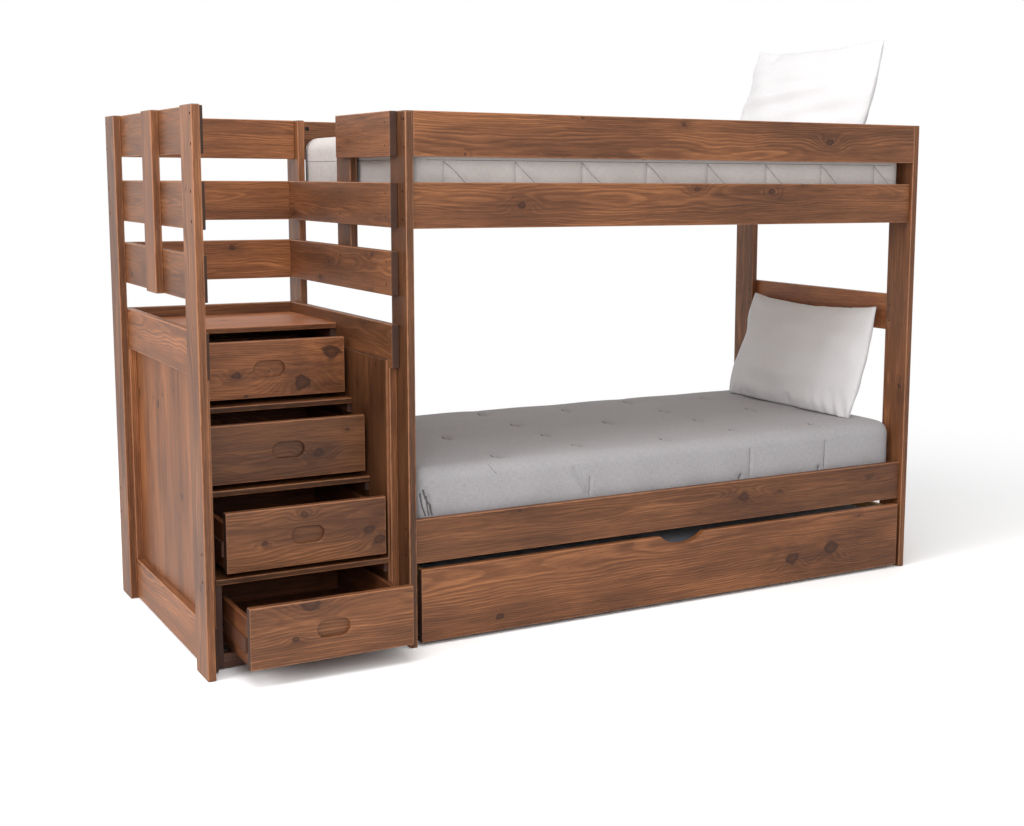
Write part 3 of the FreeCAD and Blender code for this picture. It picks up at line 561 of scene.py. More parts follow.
@dataclass(frozen=True)
class HandlingMarks:
    """Marks of handling on hard fittings."""

    smear_waves: Place = (40.0, 40.0, 40.0)
    scratch_waves: Place = (60.0, 900.0, 900.0)

    def build(self) -> bpy.types.NodeTree:
        """Builds the group of the marks.

        Returns:
            The group, with a place as its input.
        """
        tree = new_group(Effect.HANDLING.value, {"Place": None}, ("Smear", "Scratch"))
        n = Nodes(tree)
        given, out = tree.nodes["Group Input"].outputs, tree.nodes["Group Output"].inputs
        n.feed(out["Smear"], n.smooth(n.haze(given["Place"], self.smear_waves, 3.0), 0.3, 0.7))
        n.feed(out["Scratch"], n.smooth(n.haze(given["Place"], self.scratch_waves, 2.0), 0.55, 0.7))
        return tree


class Effects:
    """Builds each shared effect when it is first asked for."""

    makers: dict[Effect, PineFigure | PlainWeave | HandlingMarks] = {
        Effect.PINE: PineFigure(),
        Effect.WEAVE: PlainWeave(),
        Effect.HANDLING: HandlingMarks(),
    }

    def __init__(self) -> None:
        """Starts with nothing built."""
        self.built: dict[Effect, bpy.types.NodeTree] = {}

    def get(self, effect: Effect) -> bpy.types.NodeTree:
        """Finds the node group of an effect.

        Args:
            effect: The effect.

        Returns:
            Its group.
        """
        if effect not in self.built:
            self.built[effect] = self.makers[effect].build()
        return self.built[effect]


# ---------------------------------------------------------------- finishes


@dataclass(frozen=True)
class PineFinish:
    """Pine under one coat of stain and satin lacquer."""

    name: str
    early: Colour
    late: Colour
    deep: Colour
    # The rubbed-edge colour is partly wear and partly a painted highlight on the edges.
    worn_and_lit: Colour
    cut: Colour
    roughness: float = 0.38
    specular: float = 0.38
    knots: float = 0.4
    wear_and_highlight: float = 0.6
    dark_fibre: Colour = (0.68, 0.66, 0.63, 1.0)
    light_fibre: Colour = (1.27, 1.28, 1.28, 1.0)
    dark_cloud: Colour = (0.66, 0.64, 0.64, 1.0)
    light_cloud: Colour = (1.24, 1.26, 1.22, 1.0)
    rim_shade: Colour = (0.62, 0.62, 0.62, 1.0)
    knot_stain: float = 0.76
    rim_stain: float = 0.9
    end_stain: float = 0.85

    def build(self, effects: Effects) -> bpy.types.Material:
        """Makes the material.

        Args:
            effects: The shared effects.

        Returns:
            The new material.
        """
        material, n, shader = new_material(self.name)
        pine = n.use(effects.get(Effect.PINE), Knots=self.knots).outputs
        colour = n.blend(pine["Rings"], self.early, self.late)
        colour = n.tint(colour, n.blend(pine["Fibre"], self.dark_fibre, self.light_fibre))
        colour = n.tint(colour, n.blend(pine["Cloud"], self.dark_cloud, self.light_cloud))
        # The board tone also carries painted shade on forward faces and painted light on a few boards.
        colour = n.tint(colour, n.attribute("board_tone_with_painted_light"))
        rim = n.tint(self.deep, self.rim_shade)
        colour = n.blend(n.times(pine["Knot"], self.knot_stain), colour, self.deep)
        colour = n.blend(n.times(pine["Eye"], self.rim_stain), colour, rim)
        # Painted highlight: the edges turn lighter, partly from wear and partly as light catching them.
        colour = n.blend(n.times(pine["Edge"], self.wear_and_highlight), colour, self.worn_and_lit)
        colour = n.blend(n.times(pine["End"], self.end_stain), colour, self.cut)
        n.feed(shader.inputs["Base Color"], colour)
        shader.inputs["Specular IOR Level"].default_value = self.specular
        dull = n.plus(self.roughness, n.times(pine["Fibre"], 0.1))
        n.feed(shader.inputs["Roughness"], n.plus(dull, n.times(pine["End"], 0.2)))
        n.feed(shader.inputs["Normal"], n.bump(pine["Height"], 0.6, 0.0005))
        return material


@dataclass(frozen=True)
class FabricFinish:
    """A woven cover."""

    name: str
    thread: Colour
    shade: Colour
    fleck: Colour
    pitch: float = 0.0012
    sheen: float = 0.15
    relief: float = 0.0003
    roughness: float = 0.92

    def build(self, effects: Effects) -> bpy.types.Material:
        """Makes the material.

        Args:
            effects: The shared effects.

        Returns:
            The new material.
        """
        material, n, shader = new_material(self.name)
        cloth = n.attribute("cloth")
        weave = n.use(effects.get(Effect.WEAVE), Cloth=cloth, Pitch=self.pitch).outputs
        colour = n.blend(weave["Slub"], self.shade, self.thread)
        colour = n.blend(n.times(weave["Fleck"], 0.6), colour, self.fleck)
        n.feed(shader.inputs["Base Color"], colour)
        n.feed(shader.inputs["Roughness"], n.minus(self.roughness, n.times(weave["Slub"], 0.1)))
        shader.inputs["Sheen Weight"].default_value = self.sheen
        shader.inputs["Sheen Roughness"].default_value = 0.5
        shader.inputs["Specular IOR Level"].default_value = 0.3
        threads = n.plus(weave["Height"], weave["Slub"])
        n.feed(shader.inputs["Normal"], n.bump(threads, 0.5, self.relief))
        return material


@dataclass(frozen=True)
class FittingFinish:
    """A metal or moulded fitting."""

    name: str
    colour: Colour
    smeared: Colour
    metallic: float
    roughness: float

    def build(self, effects: Effects) -> bpy.types.Material:
        """Makes the material.

        Args:
            effects: The shared effects.

        Returns:
            The new material.
        """
        material, n, shader = new_material(self.name)
        place = n.add("ShaderNodeTexCoord").outputs["Object"]
        marks = n.use(effects.get(Effect.HANDLING), Place=place).outputs
        colour = n.blend(n.times(marks["Smear"], 0.6), self.colour, self.smeared)
        n.feed(shader.inputs["Base Color"], colour)
        shader.inputs["Metallic"].default_value = self.metallic
        rough = n.plus(self.roughness, n.times(marks["Smear"], 0.12))
        n.feed(shader.inputs["Roughness"], n.plus(rough, n.times(marks["Scratch"], 0.15)))
        n.feed(shader.inputs["Normal"], n.bump(marks["Scratch"], 0.3, 0.0002))
        return material


class Finish(Enum):
    """Every finish on the bed."""

    STAINED_PINE = PineFinish(
        "stained_pine",
        early=srgb(112, 69, 42),
        late=srgb(146, 95, 61),
        deep=srgb(62, 33, 20),
        worn_and_lit=srgb(176, 120, 84),
        cut=srgb(54, 36, 30),
        knots=0.38,
    )
    DARK_PINE = PineFinish(
        "dark_pine",
        early=srgb(86, 54, 42),
        late=srgb(112, 74, 58),
        deep=srgb(44, 26, 20),
        worn_and_lit=srgb(120, 82, 64),
        cut=srgb(70, 46, 38),
        knots=0.1,
        wear_and_highlight=0.3,
    )
    DRAWER_PINE = PineFinish(
        "drawer_pine",
        early=srgb(98, 56, 34),
        late=srgb(126, 78, 48),
        deep=srgb(52, 28, 18),
        worn_and_lit=srgb(138, 88, 56),
        cut=srgb(84, 50, 34),
        knots=0.2,
        wear_and_highlight=0.3,
    )
    PLAIN_PINE = PineFinish(
        "plain_pine",
        early=srgb(206, 168, 120),
        late=srgb(186, 134, 84),
        deep=srgb(104, 62, 36),
        worn_and_lit=srgb(216, 184, 140),
        cut=srgb(182, 142, 100),
        roughness=0.55,
        knots=0.35,
        wear_and_highlight=0.3,
    )
    GREY_TICKING = FabricFinish(
        "mattress_grey", thread=srgb(179, 176, 178), shade=srgb(155, 152, 154), fleck=srgb(216, 214, 215)
    )
    PALE_TICKING = FabricFinish(
        "mattress_light", thread=srgb(210, 203, 199), shade=srgb(192, 185, 181), fleck=srgb(226, 221, 218)
    )
    # Painted shade: a dark blue-grey ticking that stands for the shade inside the trundle under the bed.
    GUEST_TICKING = FabricFinish(
        "mattress_guest_painted_shade", thread=srgb(112, 116, 128), shade=srgb(88, 92, 104), fleck=srgb(190, 194, 204)
    )
    PILLOW_COTTON = FabricFinish(
        "pillow_white",
        thread=srgb(222, 220, 221),
        shade=srgb(214, 212, 213),
        fleck=srgb(228, 226, 227),
        pitch=0.0007,
        relief=0.00012,
    )
    # Painted shade: dark strips laid in the tuft slits stand for the shade in them.
    TUFT_THREAD = FabricFinish(
        "tuft_slit_shade", thread=srgb(128, 124, 124), shade=srgb(108, 104, 104), fleck=srgb(146, 142, 142)
    )
    # Real seams on the upper mattress, and painted shade as dark strips along the folds of the lower
    # mattress.
    SEAM_THREAD = FabricFinish(
        "seam_thread_and_fold_shade", thread=srgb(112, 108, 108), shade=srgb(92, 88, 88), fleck=srgb(130, 126, 126)
    )
    ZINC_STEEL = FittingFinish("zinc_steel", srgb(176, 178, 182), srgb(140, 142, 148), 1.0, 0.34)
    SLIDE_STEEL = FittingFinish("slide_steel", srgb(86, 50, 32), srgb(72, 42, 28), 0.0, 0.42)
    DARK_SCREW = FittingFinish("dark_screw", srgb(44, 38, 34), srgb(66, 56, 48), 0.8, 0.45)
    CASTER_TREAD = FittingFinish("caster_tread", srgb(52, 52, 54), srgb(72, 72, 74), 0.0, 0.6)


class FinishBook:
    """Makes each finish's material once."""

    def __init__(self) -> None:
        """Starts with nothing made."""
        self.effects = Effects()
        self.made: dict[Finish, bpy.types.Material] = {}

    def get(self, finish: Finish) -> bpy.types.Material:
        """Finds the material of a finish.

        Args:
            finish: The finish.

        Returns:
            Its material.
        """
        if finish not in self.made:
            self.made[finish] = finish.value.build(self.effects)
        return self.made[finish]

    def dress(self, piece: bpy.types.Object, finish: Finish) -> None:
        """Gives a piece one finish all over."""
        piece.data.materials.clear()
        piece.data.materials.append(self.get(finish))


# ---------------------------------------------------------------- boards


class Grain(Enum):
    """The way a board's grain runs."""

    LONGEST = -1
    UPRIGHT = 2


@dataclass
class BoardSet:
    """The boards of one node, each with its own run of grain."""

    node: str
    finish: Finish
    grain: Grain = Grain.LONGEST
    knots: tuple[Place, ...] = ()
    tone: float | None = None
    # Painted shade: the factor that the faces looking forwards are multiplied by.
    front: float = 1.0
    darkest: float = 0.8
    tone_span: float = 0.42
    tone_scatter: float = 0.2
    yellowing: Place = (0.0, 0.03, 0.06)
    shortest_grain: float = 0.05
    weld: float = 2e-5

    def corners(self, mesh: bpy.types.Mesh) -> tuple[np.ndarray, np.ndarray]:
        """Reads a mesh of triangles.

        Args:
            mesh: The node's mesh.

        Returns:
            The vertices' places, and the three vertices of each triangle.
        """
        places = np.empty(len(mesh.vertices) * 3)
        mesh.vertices.foreach_get("co", places)
        loops = np.empty(len(mesh.loops), dtype=np.int64)
        mesh.loops.foreach_get("vertex_index", loops)
        return places.reshape(-1, 3), loops.reshape(-1, 3)

    def separate(self, places: np.ndarray, triangles: np.ndarray) -> np.ndarray:
        """Finds which triangles belong to one solid board.

        Args:
            places: The vertices' places.
            triangles: The vertices of each triangle.

        Returns:
            One label per triangle.
        """
        rounded = np.round(places / self.weld).astype(np.int64)
        _, shared = np.unique(rounded, axis=0, return_inverse=True)
        corner = shared.reshape(-1)[triangles]
        pairs = np.sort(np.concatenate([corner[:, [0, 1]], corner[:, [1, 2]], corner[:, [2, 0]]]), axis=1)
        owner = np.tile(np.arange(len(triangles)), 3)
        code = pairs[:, 0] * (corner.max() + 1) + pairs[:, 1]
        order = np.argsort(code, kind="stable")
        code, owner = code[order], owner[order]
        starts = np.flatnonzero(np.r_[True, code[1:] != code[:-1]])
        counts = np.diff(np.r_[starts, len(code)])
        first = owner[starts[counts == 2]]
        second = owner[starts[counts == 2] + 1]
        label = np.arange(len(triangles))
        while True:
            low = np.minimum(label[first], label[second])
            after = label.copy()
            np.minimum.at(after, first, low)
            np.minimum.at(after, second, low)
            after = after[after]
            if np.array_equal(after, label):
                return label
            label = after

    def shade(self, dice: random.Random) -> np.ndarray:
        """Draws a board's tone.

        Args:
            dice: The board's own dice.

        Returns:
            What its colour is multiplied by.
        """
        share = dice.random()
        if self.tone is not None:
            share = self.tone + self.tone_scatter * (share - 0.5)
        return (self.darkest + self.tone_span * share) * (1 - share * np.array(self.yellowing))

    def facing_front(self, places: np.ndarray, triangles: np.ndarray) -> np.ndarray:
        """Finds the vertices of the faces that look forwards.

        Args:
            places: The vertices' places.
            triangles: The vertices of each triangle.

        Returns:
            The indices of those vertices.
        """
        first, second, third = (places[triangles[:, number]] for number in range(3))
        normal = np.cross(second - first, third - first)
        forwards = -normal[:, 1] > 0.7 * np.linalg.norm(normal, axis=1)
        return np.unique(triangles[forwards])

    def dress(self, book: FinishBook) -> int:
        """Stores each board's own coordinates on the mesh and gives the node its finish.

        Args:
            book: The finishes.

        Returns:
            The number of boards found.
        """
        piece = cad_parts[self.node]
        mesh = piece.data
        places, triangles = self.corners(mesh)
        label = self.separate(places, triangles)
        inner, half, luck, tone = (np.zeros_like(places) for _ in range(4))
        boards = np.unique(label)
        for number, board in enumerate(boards):
            own = np.unique(triangles[label == board])
            low, high = places[own].min(axis=0), places[own].max(axis=0)
            size = high - low
            order = list(np.argsort(-size))
            if self.grain is not Grain.LONGEST and size[self.grain.value] > self.shortest_grain:
                order.remove(self.grain.value)
                order.insert(0, self.grain.value)
            inner[own] = (places[own] - (low + high) / 2)[:, order]
            half[own] = size[order] / 2
            dice = random.Random(f"{self.node} {number}")
            luck[own] = [dice.random(), dice.random(), dice.random()]
            tone[own] = self.shade(dice)
        # Painted shade: the faces that look forwards are darkened by the front factor.
        tone[self.facing_front(places, triangles)] *= self.front
        given = {"board_place": inner, "board_half": half, "board_luck": luck, "board_tone_with_painted_light": tone}
        for number in range(MARKED_KNOTS):
            knot = self.knots[number] if number < len(self.knots) else (0.0, 0.0, 0.0)
            given[f"board_knot_{number}"] = np.tile(knot, (len(places), 1))
        for name, values in given.items():
            store_vectors(mesh, name, values)
        book.dress(piece, self.finish)
        return len(boards)


def store_vectors(mesh: bpy.types.Mesh, name: str, values: np.ndarray) -> None:
    """Keeps one vector per vertex on a mesh.

    Args:
        mesh: The mesh.
        name: The attribute's name.
        values: The vectors.
    """
    attribute = mesh.attributes.get(name) or mesh.attributes.new(name, "FLOAT_VECTOR", "POINT")
    attribute.data.foreach_set("vector", np.ascontiguousarray(values, dtype=np.float32).ravel())


@dataclass
class Woodwork:
    """Every wooden node of the bed, the stairs and the trundle."""

    stained: tuple[str, ...] = (
        "bed_post_front_left",
        "bed_post_front_right",
        "bed_post_rear_left",
        "bed_post_rear_right",
        "guard_rail_front",
        "guard_rail_rear",
        "upper_side_rail_front",
        "upper_side_rail_rear",
        "lower_side_rail_front",
        "lower_side_rail_rear",
        "entry_rails",
        "entry_post",
        "right_end_rails",
        "head_rail",
        "stair_post_front",
        "stair_post_rear",
        "stair_left_rails",
        "stair_back_rails",
        "guard_batten",
        "left_frame",
        "right_frame",
        "back_frame",
        "tread_1",
        "tread_2",
        "tread_3",
        "landing",
        "drawer_1_front",
        "drawer_2_front",
        "drawer_3_front",
        "drawer_4_front",
        "trundle_front",
    )
    panels: tuple[str, ...] = ("left_panel", "right_panel", "back_panel")
    dark: tuple[str, ...] = ("stair_runners", "toe_rail")
    boxes: tuple[str, ...] = ("drawer_1_box", "drawer_2_box", "drawer_3_box", "drawer_4_box")
    plain: tuple[str, ...] = ("upper_slats", "lower_slats", "bed_ledgers", "trundle_box", "trundle_slats")
    # Painted shade on the forward faces of the landing and of the treads.
    landing_front_shade: float = 0.4
    tread_front_shade: float = 0.55

    def marked(self) -> dict[str, tuple[Place, ...]]:
        """The boards with large knots.

        Returns:
            For each such board, where each knot sits along and across it, and the knot's radius.
        """
        return {
            "drawer_1_front": ((-0.068, 0.078, 0.02), (-0.117, -0.016, 0.008)),
            "drawer_2_front": ((0.201, -0.006, 0.013), (0.228, -0.041, 0.013), (-0.137, -0.012, 0.006)),
            "drawer_3_front": ((0.097, -0.016, 0.012),),
            "drawer_4_front": ((0.208, 0.042, 0.022), (0.106, -0.051, 0.022), (-0.11, -0.015, 0.01)),
            "trundle_front": ((0.483, -0.029, 0.02), (0.66, -0.012, 0.025), (-0.706, -0.072, 0.009)),
            "guard_rail_front": ((0.60, 0.0, 0.013),),
            "upper_side_rail_front": ((-0.62, 0.0, 0.012),),
            "lower_side_rail_front": ((0.271, 0.012, 0.016),),
        }

    def tones_with_painted_light(self) -> dict[str, float]:
        """The boards that are plainly lighter or darker than most, some of it painted light: the landing is
        lighter as painted light from above, and the front left bed post darker partly as painted shade.

        Returns:
            Their tones. Most boards lie between 0, which is dark, and 1, which is light.
        """
        return {
            # Painted light from above on the landing.
            "landing": 3.1,
            "left_panel": 1.0,
            "left_frame": 1.1,
            "right_panel": -0.45,
            "right_frame": 0.3,
            "stair_back_rails": 1.0,
            # Partly painted shade, for the shadow on the post's left face.
            "bed_post_front_left": -0.45,
            "bed_post_front_right": 0.35,
            "stair_post_front": 0.3,
            "stair_post_rear": 0.0,
            "stair_left_rails": 0.15,
            "head_rail": 2.0,
            "guard_rail_front": 0.65,
            "upper_side_rail_front": 0.6,
            "lower_side_rail_front": 0.05,
            "entry_rails": 0.5,
            "drawer_4_front": 1.25,
            "drawer_3_front": -0.1,
            "drawer_2_front": 0.2,
            "drawer_1_front": 0.25,
            "tread_1": 0.2,
            "tread_2": 0.2,
            "tread_3": 0.2,
            "trundle_front": 0.6,
        }

    def dress(self, book: FinishBook) -> None:
        """Gives every wooden node its finish.

        Args:
            book: The finishes.
        """
        marked, tones_with_painted_light = self.marked(), self.tones_with_painted_light()
        shaded = {f"tread_{number}": self.tread_front_shade for number in range(1, 4)}
        shaded["landing"] = self.landing_front_shade
        sets = []
        for node in self.stained + self.panels:
            grain = Grain.UPRIGHT if node in self.panels else Grain.LONGEST
            look = (marked.get(node, ()), tones_with_painted_light.get(node), shaded.get(node, 1.0))
            sets.append(BoardSet(node, Finish.STAINED_PINE, grain, *look))
        sets += [BoardSet(node, Finish.DARK_PINE) for node in self.dark]
        sets += [BoardSet(node, Finish.DRAWER_PINE) for node in self.boxes]
        sets += [BoardSet(node, Finish.PLAIN_PINE) for node in self.plain]
        for boards in sets:
            log.info("%s: %d boards", boards.node, boards.dress(book))


@dataclass
class Fittings:
    """Bolts, screws, slides and casters."""

    def dress(self, book: FinishBook) -> None:
        """Gives every fitting its finish.

        Args:
            book: The finishes.
        """
        finishes = {
            "bed_bolts": Finish.DARK_SCREW,
            "wood_screws": Finish.DARK_SCREW,
            "drawer_tracks": Finish.SLIDE_STEEL,
            "caster_forks": Finish.ZINC_STEEL,
            "trundle_wheels_front": Finish.CASTER_TREAD,
            "trundle_wheels_rear": Finish.CASTER_TREAD,
        }
        for number in range(1, 5):
            finishes[f"drawer_{number}_runners"] = Finish.SLIDE_STEEL
        for node, finish in finishes.items():
            book.dress(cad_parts[node], finish)
            log.info("%s: %s", node, finish.value.name)


# ---------------------------------------------------------------- modelling helpers


def deselect() -> None:
    """Leaves nothing selected."""
    if bpy.context.object and bpy.context.object.mode != "OBJECT":
        bpy.ops.object.mode_set(mode="OBJECT")
    bpy.ops.object.select_all(action="DESELECT")


def apply_modifiers(piece: bpy.types.Object) -> None:
    """Applies all of a piece's modifiers in order.

    Args:
        piece: The piece.
    """
    bpy.context.view_layer.objects.active = piece
    for modifier in list(piece.modifiers):
        bpy.ops.object.modifier_apply(modifier=modifier.name)


def read_places(piece: bpy.types.Object) -> np.ndarray:
    """Reads a piece's vertices.

    Args:
        piece: The piece.

    Returns:
        Their places, one row each.
    """
    places = np.empty(len(piece.data.vertices) * 3)
    piece.data.vertices.foreach_get("co", places)
    return places.reshape(-1, 3)


def write_places(piece: bpy.types.Object, places: np.ndarray) -> None:
    """Moves a piece's vertices."""
    piece.data.vertices.foreach_set("co", np.ascontiguousarray(places).ravel())
    piece.data.update()


def gridded_block(name: str, size: Vector, cuts: tuple[int, int, int]) -> bpy.types.Object:
    """A closed block about the origin, with a grid on every side.

    Args:
        name: The object's name.
        size: Its length, width and height.
        cuts: The number of cells along each.

    Returns:
        The block.
    """
    deselect()
    bpy.ops.mesh.primitive_grid_add(x_subdivisions=cuts[0], y_subdivisions=cuts[1], size=1.0)
    piece = bpy.context.object
    piece.name = name
    piece.data.name = name
    piece.scale = (size.x, size.y, 1.0)
    piece.location.z = -size.z / 2
    bpy.ops.object.transform_apply(location=True, rotation=True, scale=True)
    bpy.ops.object.mode_set(mode="EDIT")
    bpy.ops.mesh.select_all(action="SELECT")
    for _ in range(cuts[2]):
        bpy.ops.mesh.extrude_region_move(TRANSFORM_OT_translate={"value": (0.0, 0.0, size.z / cuts[2])})
    bpy.ops.mesh.select_all(action="SELECT")
    bpy.ops.mesh.normals_make_consistent(inside=False)
    bpy.ops.object.mode_set(mode="OBJECT")
    return piece


def smooth_shade(piece: bpy.types.Object) -> None:
    """Shades a piece smooth.

    Args:
        piece: The piece.
    """
    deselect()
    piece.select_set(True)
    bpy.context.view_layer.objects.active = piece
    bpy.ops.object.shade_smooth()


def soft_noise(places: np.ndarray, scale: float, seed: int) -> np.ndarray:
    """A cheap smooth noise, a sum of waves in random directions.

    Args:
        places: Where it is read.
        scale: The usual length of a wave.
        seed: Chooses the waves.

    Returns:
        Values of about -1 to 1.
    """
    waves, strength = 9, 3.2
    dice = np.random.default_rng(seed)
    total = np.zeros(len(places))
    for _ in range(waves):
        way = dice.normal(size=3)
        way *= 2 * math.pi / (scale * dice.uniform(0.7, 1.6) * np.linalg.norm(way))
        total += np.sin(places @ way + dice.uniform(0, 2 * math.pi))
    return total / strength


def bell(values: np.ndarray, width: float, middle: float = 0.0) -> np.ndarray:
    """A bell curve, 1 at its middle."""
    return np.exp(-(((values - middle) / width) ** 2))


def ramp(values: np.ndarray, start: float, end: float) -> np.ndarray:
    """A straight rise from 0 at its start to 1 at its end."""
    return np.clip((values - start) / (end - start), 0, 1)


# ---------------------------------------------------------------- mattresses


@dataclass(frozen=True)
class Crease:
    """A straight fold line on the front of a mattress, as X and Z in the row frame."""

    start: Span
    end: Span
    depth: float
    width: float


@dataclass
class Mattress:
    """A padded block with rounded edges, tufts on its top and creases down its sides."""

    name: str
    node: str
    body: str
    slot: str
    finish: Finish
    seed: int
    edge: float = 0.05
    foot_edge: float = 0.025
    corner: float = 0.045
    cell: float = 0.0125
    ripple: float = 0.0025
    side_depth: float = 0.03
    tuft_depth: float = 0.016
    dish_share: float = 0.28
    dish: Span = (0.075, 0.085)
    slit: Span = (0.011, 0.032)
    pucker: Span = (0.10, 0.07)
    pucker_pitch: float = 0.017
    pucker_depth: float = 0.0012
    tufts: Line = ()
    front_creases: tuple[Crease, ...] = ()

    def block(self) -> bpy.types.Object:
        """Models the rounded block, in the space of its solid.

        Returns:
            The block.
        """
        low, high = (Vector(corner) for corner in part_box(self.node))
        size = high - low
        cuts = tuple(max(2, round(length / self.cell)) for length in size)
        piece = gridded_block(self.name, size, cuts)
        places = read_places(piece)
        half = np.array(size) / 2
        self.lay_cloth(piece, places, half)
        write_places(piece, self.round_off(places, half) + np.array((low + high) / 2))
        return piece

    def lay_cloth(self, piece: bpy.types.Object, places: np.ndarray, half: np.ndarray) -> None:
        """Keeps the cover's own coordinates, which run over the edges.

        Args:
            piece: The block.
            places: Its vertices about the origin.
            half: Its half sizes.
        """
        drop = half[2] - places[:, 2]
        side = np.abs(places[:, :2]) > half[:2] - 1e-5
        flat = places[:, :2] + np.sign(places[:, :2]) * drop[:, None] * side
        store_vectors(piece.data, "cloth", np.column_stack([flat, np.zeros(len(flat))]))

    def round_off(self, places: np.ndarray, half: np.ndarray) -> np.ndarray:
        """Rounds the upright corners in plan, then rolls the top and bottom edges over.

        Args:
            places: The vertices of the block about the origin.
            half: Its half sizes.

        Returns:
            The moved vertices.
        """
        moved = places.copy()
        sign = np.sign(places)
        core = half[:2] - self.corner
        past = np.maximum(np.abs(places[:, :2]) - core, 0)
        length = np.linalg.norm(past, axis=1)
        scale = np.divide(past.max(axis=1), length, out=np.ones_like(length), where=length > 1e-9)
        moved[:, :2] = sign[:, :2] * (np.minimum(np.abs(places[:, :2]), core) + past * scale[:, None])
        over = np.abs(moved[:, :2]) - core
        past = np.maximum(over, 0)
        length = np.linalg.norm(past, axis=1)
        straight = np.eye(2)[over.argmax(axis=1)]
        way = np.where(length[:, None] > 1e-9, past / np.maximum(length, 1e-9)[:, None], straight)
        gap = self.corner - np.where(length > 1e-9, length, over.max(axis=1))
        radius = np.where(places[:, 2] > 0, self.edge, self.foot_edge)
        drop = half[2] - np.abs(places[:, 2])
        flat = drop < 1e-6
        turn = np.where(flat, 1 - np.clip(gap / radius, 0, 1), 1 + np.clip(drop / radius, 0, 1)) * math.pi / 4
        shift = radius * (1 - np.sin(turn)) - np.where(flat, np.minimum(gap, radius), 0)
        moved[:, :2] -= sign[:, :2] * way * shift[:, None]
        fall = radius * (1 - np.cos(turn))
        moved[:, 2] = np.where(drop < radius, sign[:, 2] * (half[2] - fall), places[:, 2])
        return moved

    def shape(self, piece: bpy.types.Object) -> None:
        """Presses tufts, creases and soft unevenness into the block.

        Args:
            piece: The block.
        """
        low, high = (np.array(corner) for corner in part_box(self.node))
        places = read_places(piece)
        rise = self.edge * 0.6
        top = ramp(places[:, 2], high[2] - 2 * rise, high[2] - rise)
        places[:, 2] += top * self.ripple * 0.6 * (soft_noise(places, 0.22, self.seed) - 1.0)
        for x, y in self.tufts:
            across, along = places[:, 0] - x, places[:, 1] - y
            dish, slit, pucker = (
                bell(across, width) * bell(along, length)
                for width, length in (self.dish, self.slit, self.pucker)
            )
            dip = self.dish_share * dish + (1 - self.dish_share) * slit
            wave = pucker * np.cos(across / self.pucker_pitch)
            places[:, 2] -= top * (self.tuft_depth * dip + self.pucker_depth * wave)
        front = ramp(-places[:, 1], -low[1] - self.side_depth, -low[1])
        left = ramp(-places[:, 0], -low[0] - self.side_depth, -low[0])
        squat = np.array([1, 1, 0.6])
        front_swell = self.ripple * soft_noise(places * squat, 0.16, self.seed + 1)
        places[:, 1] += front * (front_swell + self.ripple)
        left_swell = self.ripple * soft_noise(places * squat, 0.14, self.seed + 2)
        places[:, 0] += left * (left_swell + self.ripple)
        for crease in self.front_creases:
            near = self.nearness(places[:, 0], places[:, 2], crease)
            places[:, 1] += front * crease.depth * near
        write_places(piece, places)

    def nearness(self, across: np.ndarray, up: np.ndarray, crease: Crease) -> np.ndarray:
        """Works out how near each vertex is to a crease.

        Args:
            across: The vertices' places along the front.
            up: Their heights.
            crease: The crease.

        Returns:
            1 on the crease, falling to 0 beside it.
        """
        start, end = np.array(crease.start), np.array(crease.end)
        way = end - start
        away = np.column_stack([across, up]) - start
        share = np.clip(away @ way / (way @ way), 0, 1)
        gap = np.linalg.norm(away - share[:, None] * way, axis=1)
        fade = np.clip(np.minimum(share, 1 - share) * 6 + 0.35, 0, 1)
        return bell(gap, crease.width) * fade

    def build(self, book: FinishBook) -> bpy.types.Object:
        """Models, dresses and places the mattress.

        Args:
            book: The finishes.

        Returns:
            The mattress.
        """
        piece = self.block()
        modifier = piece.modifiers.new("soften", "SUBSURF")
        modifier.levels = modifier.render_levels = 1
        apply_modifiers(piece)
        self.shape(piece)
        smooth_shade(piece)
        book.dress(piece, self.finish)
        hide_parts(self.node)
        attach(piece, self.body)
        log.info("%s: %d faces", self.name, len(piece.data.polygons))
        return piece


@dataclass
class SeamLine:
    """A line of stitching that lies on a mattress."""

    name: str
    points: tuple[Place, ...]
    towards: Place
    width: float = 0.0014
    lift: float = 0.0003
    step: float = 0.008
    crown: float = 0.35
    thickness: float = 0.8

    def path(self) -> list[Vector]:
        """Walks along the line.

        Returns:
            Points at even steps.
        """
        corners = [Vector(point) for point in self.points]
        made = [corners[0]]
        for first, second in zip(corners, corners[1:]):
            count = max(1, round((second - first).length / self.step))
            made += [first.lerp(second, (n + 1) / count) for n in range(count)]
        return made

    def build(self, base: BVHTree) -> bpy.types.Object:
        """Lays a narrow strip on the surface below the line.

        Args:
            base: The mattress's surface.

        Returns:
            The strip.
        """
        way = Vector(self.towards)
        spots = []
        for point in self.path():
            place, normal, _, _ = base.ray_cast(point - way * 0.2, way)
            if place is not None:
                spots.append((place, normal))
        deselect()
        bpy.ops.mesh.primitive_grid_add(x_subdivisions=len(spots) - 1, y_subdivisions=2, size=1.0)
        piece = bpy.context.object
        piece.name = piece.data.name = self.name
        for vertex in piece.data.vertices:
            index = round((vertex.co.x + 0.5) * (len(spots) - 1))
            place, normal = spots[index]
            after = spots[min(index + 1, len(spots) - 1)][0] - spots[max(index - 1, 0)][0]
            side = normal.cross(after).normalized()
            crown = self.width * self.crown if abs(vertex.co.y) < 0.1 else 0.0
            vertex.co = place + side * vertex.co.y * self.width + normal * (self.lift + crown)
        modifier = piece.modifiers.new("thread", "SOLIDIFY")
        modifier.thickness = self.width * self.thickness
        modifier.offset = -1.0
        apply_modifiers(piece)
        store_vectors(piece.data, "cloth", read_places(piece)[:, [0, 2, 1]])
        return piece


# ---------------------------------------------------------------- pillows


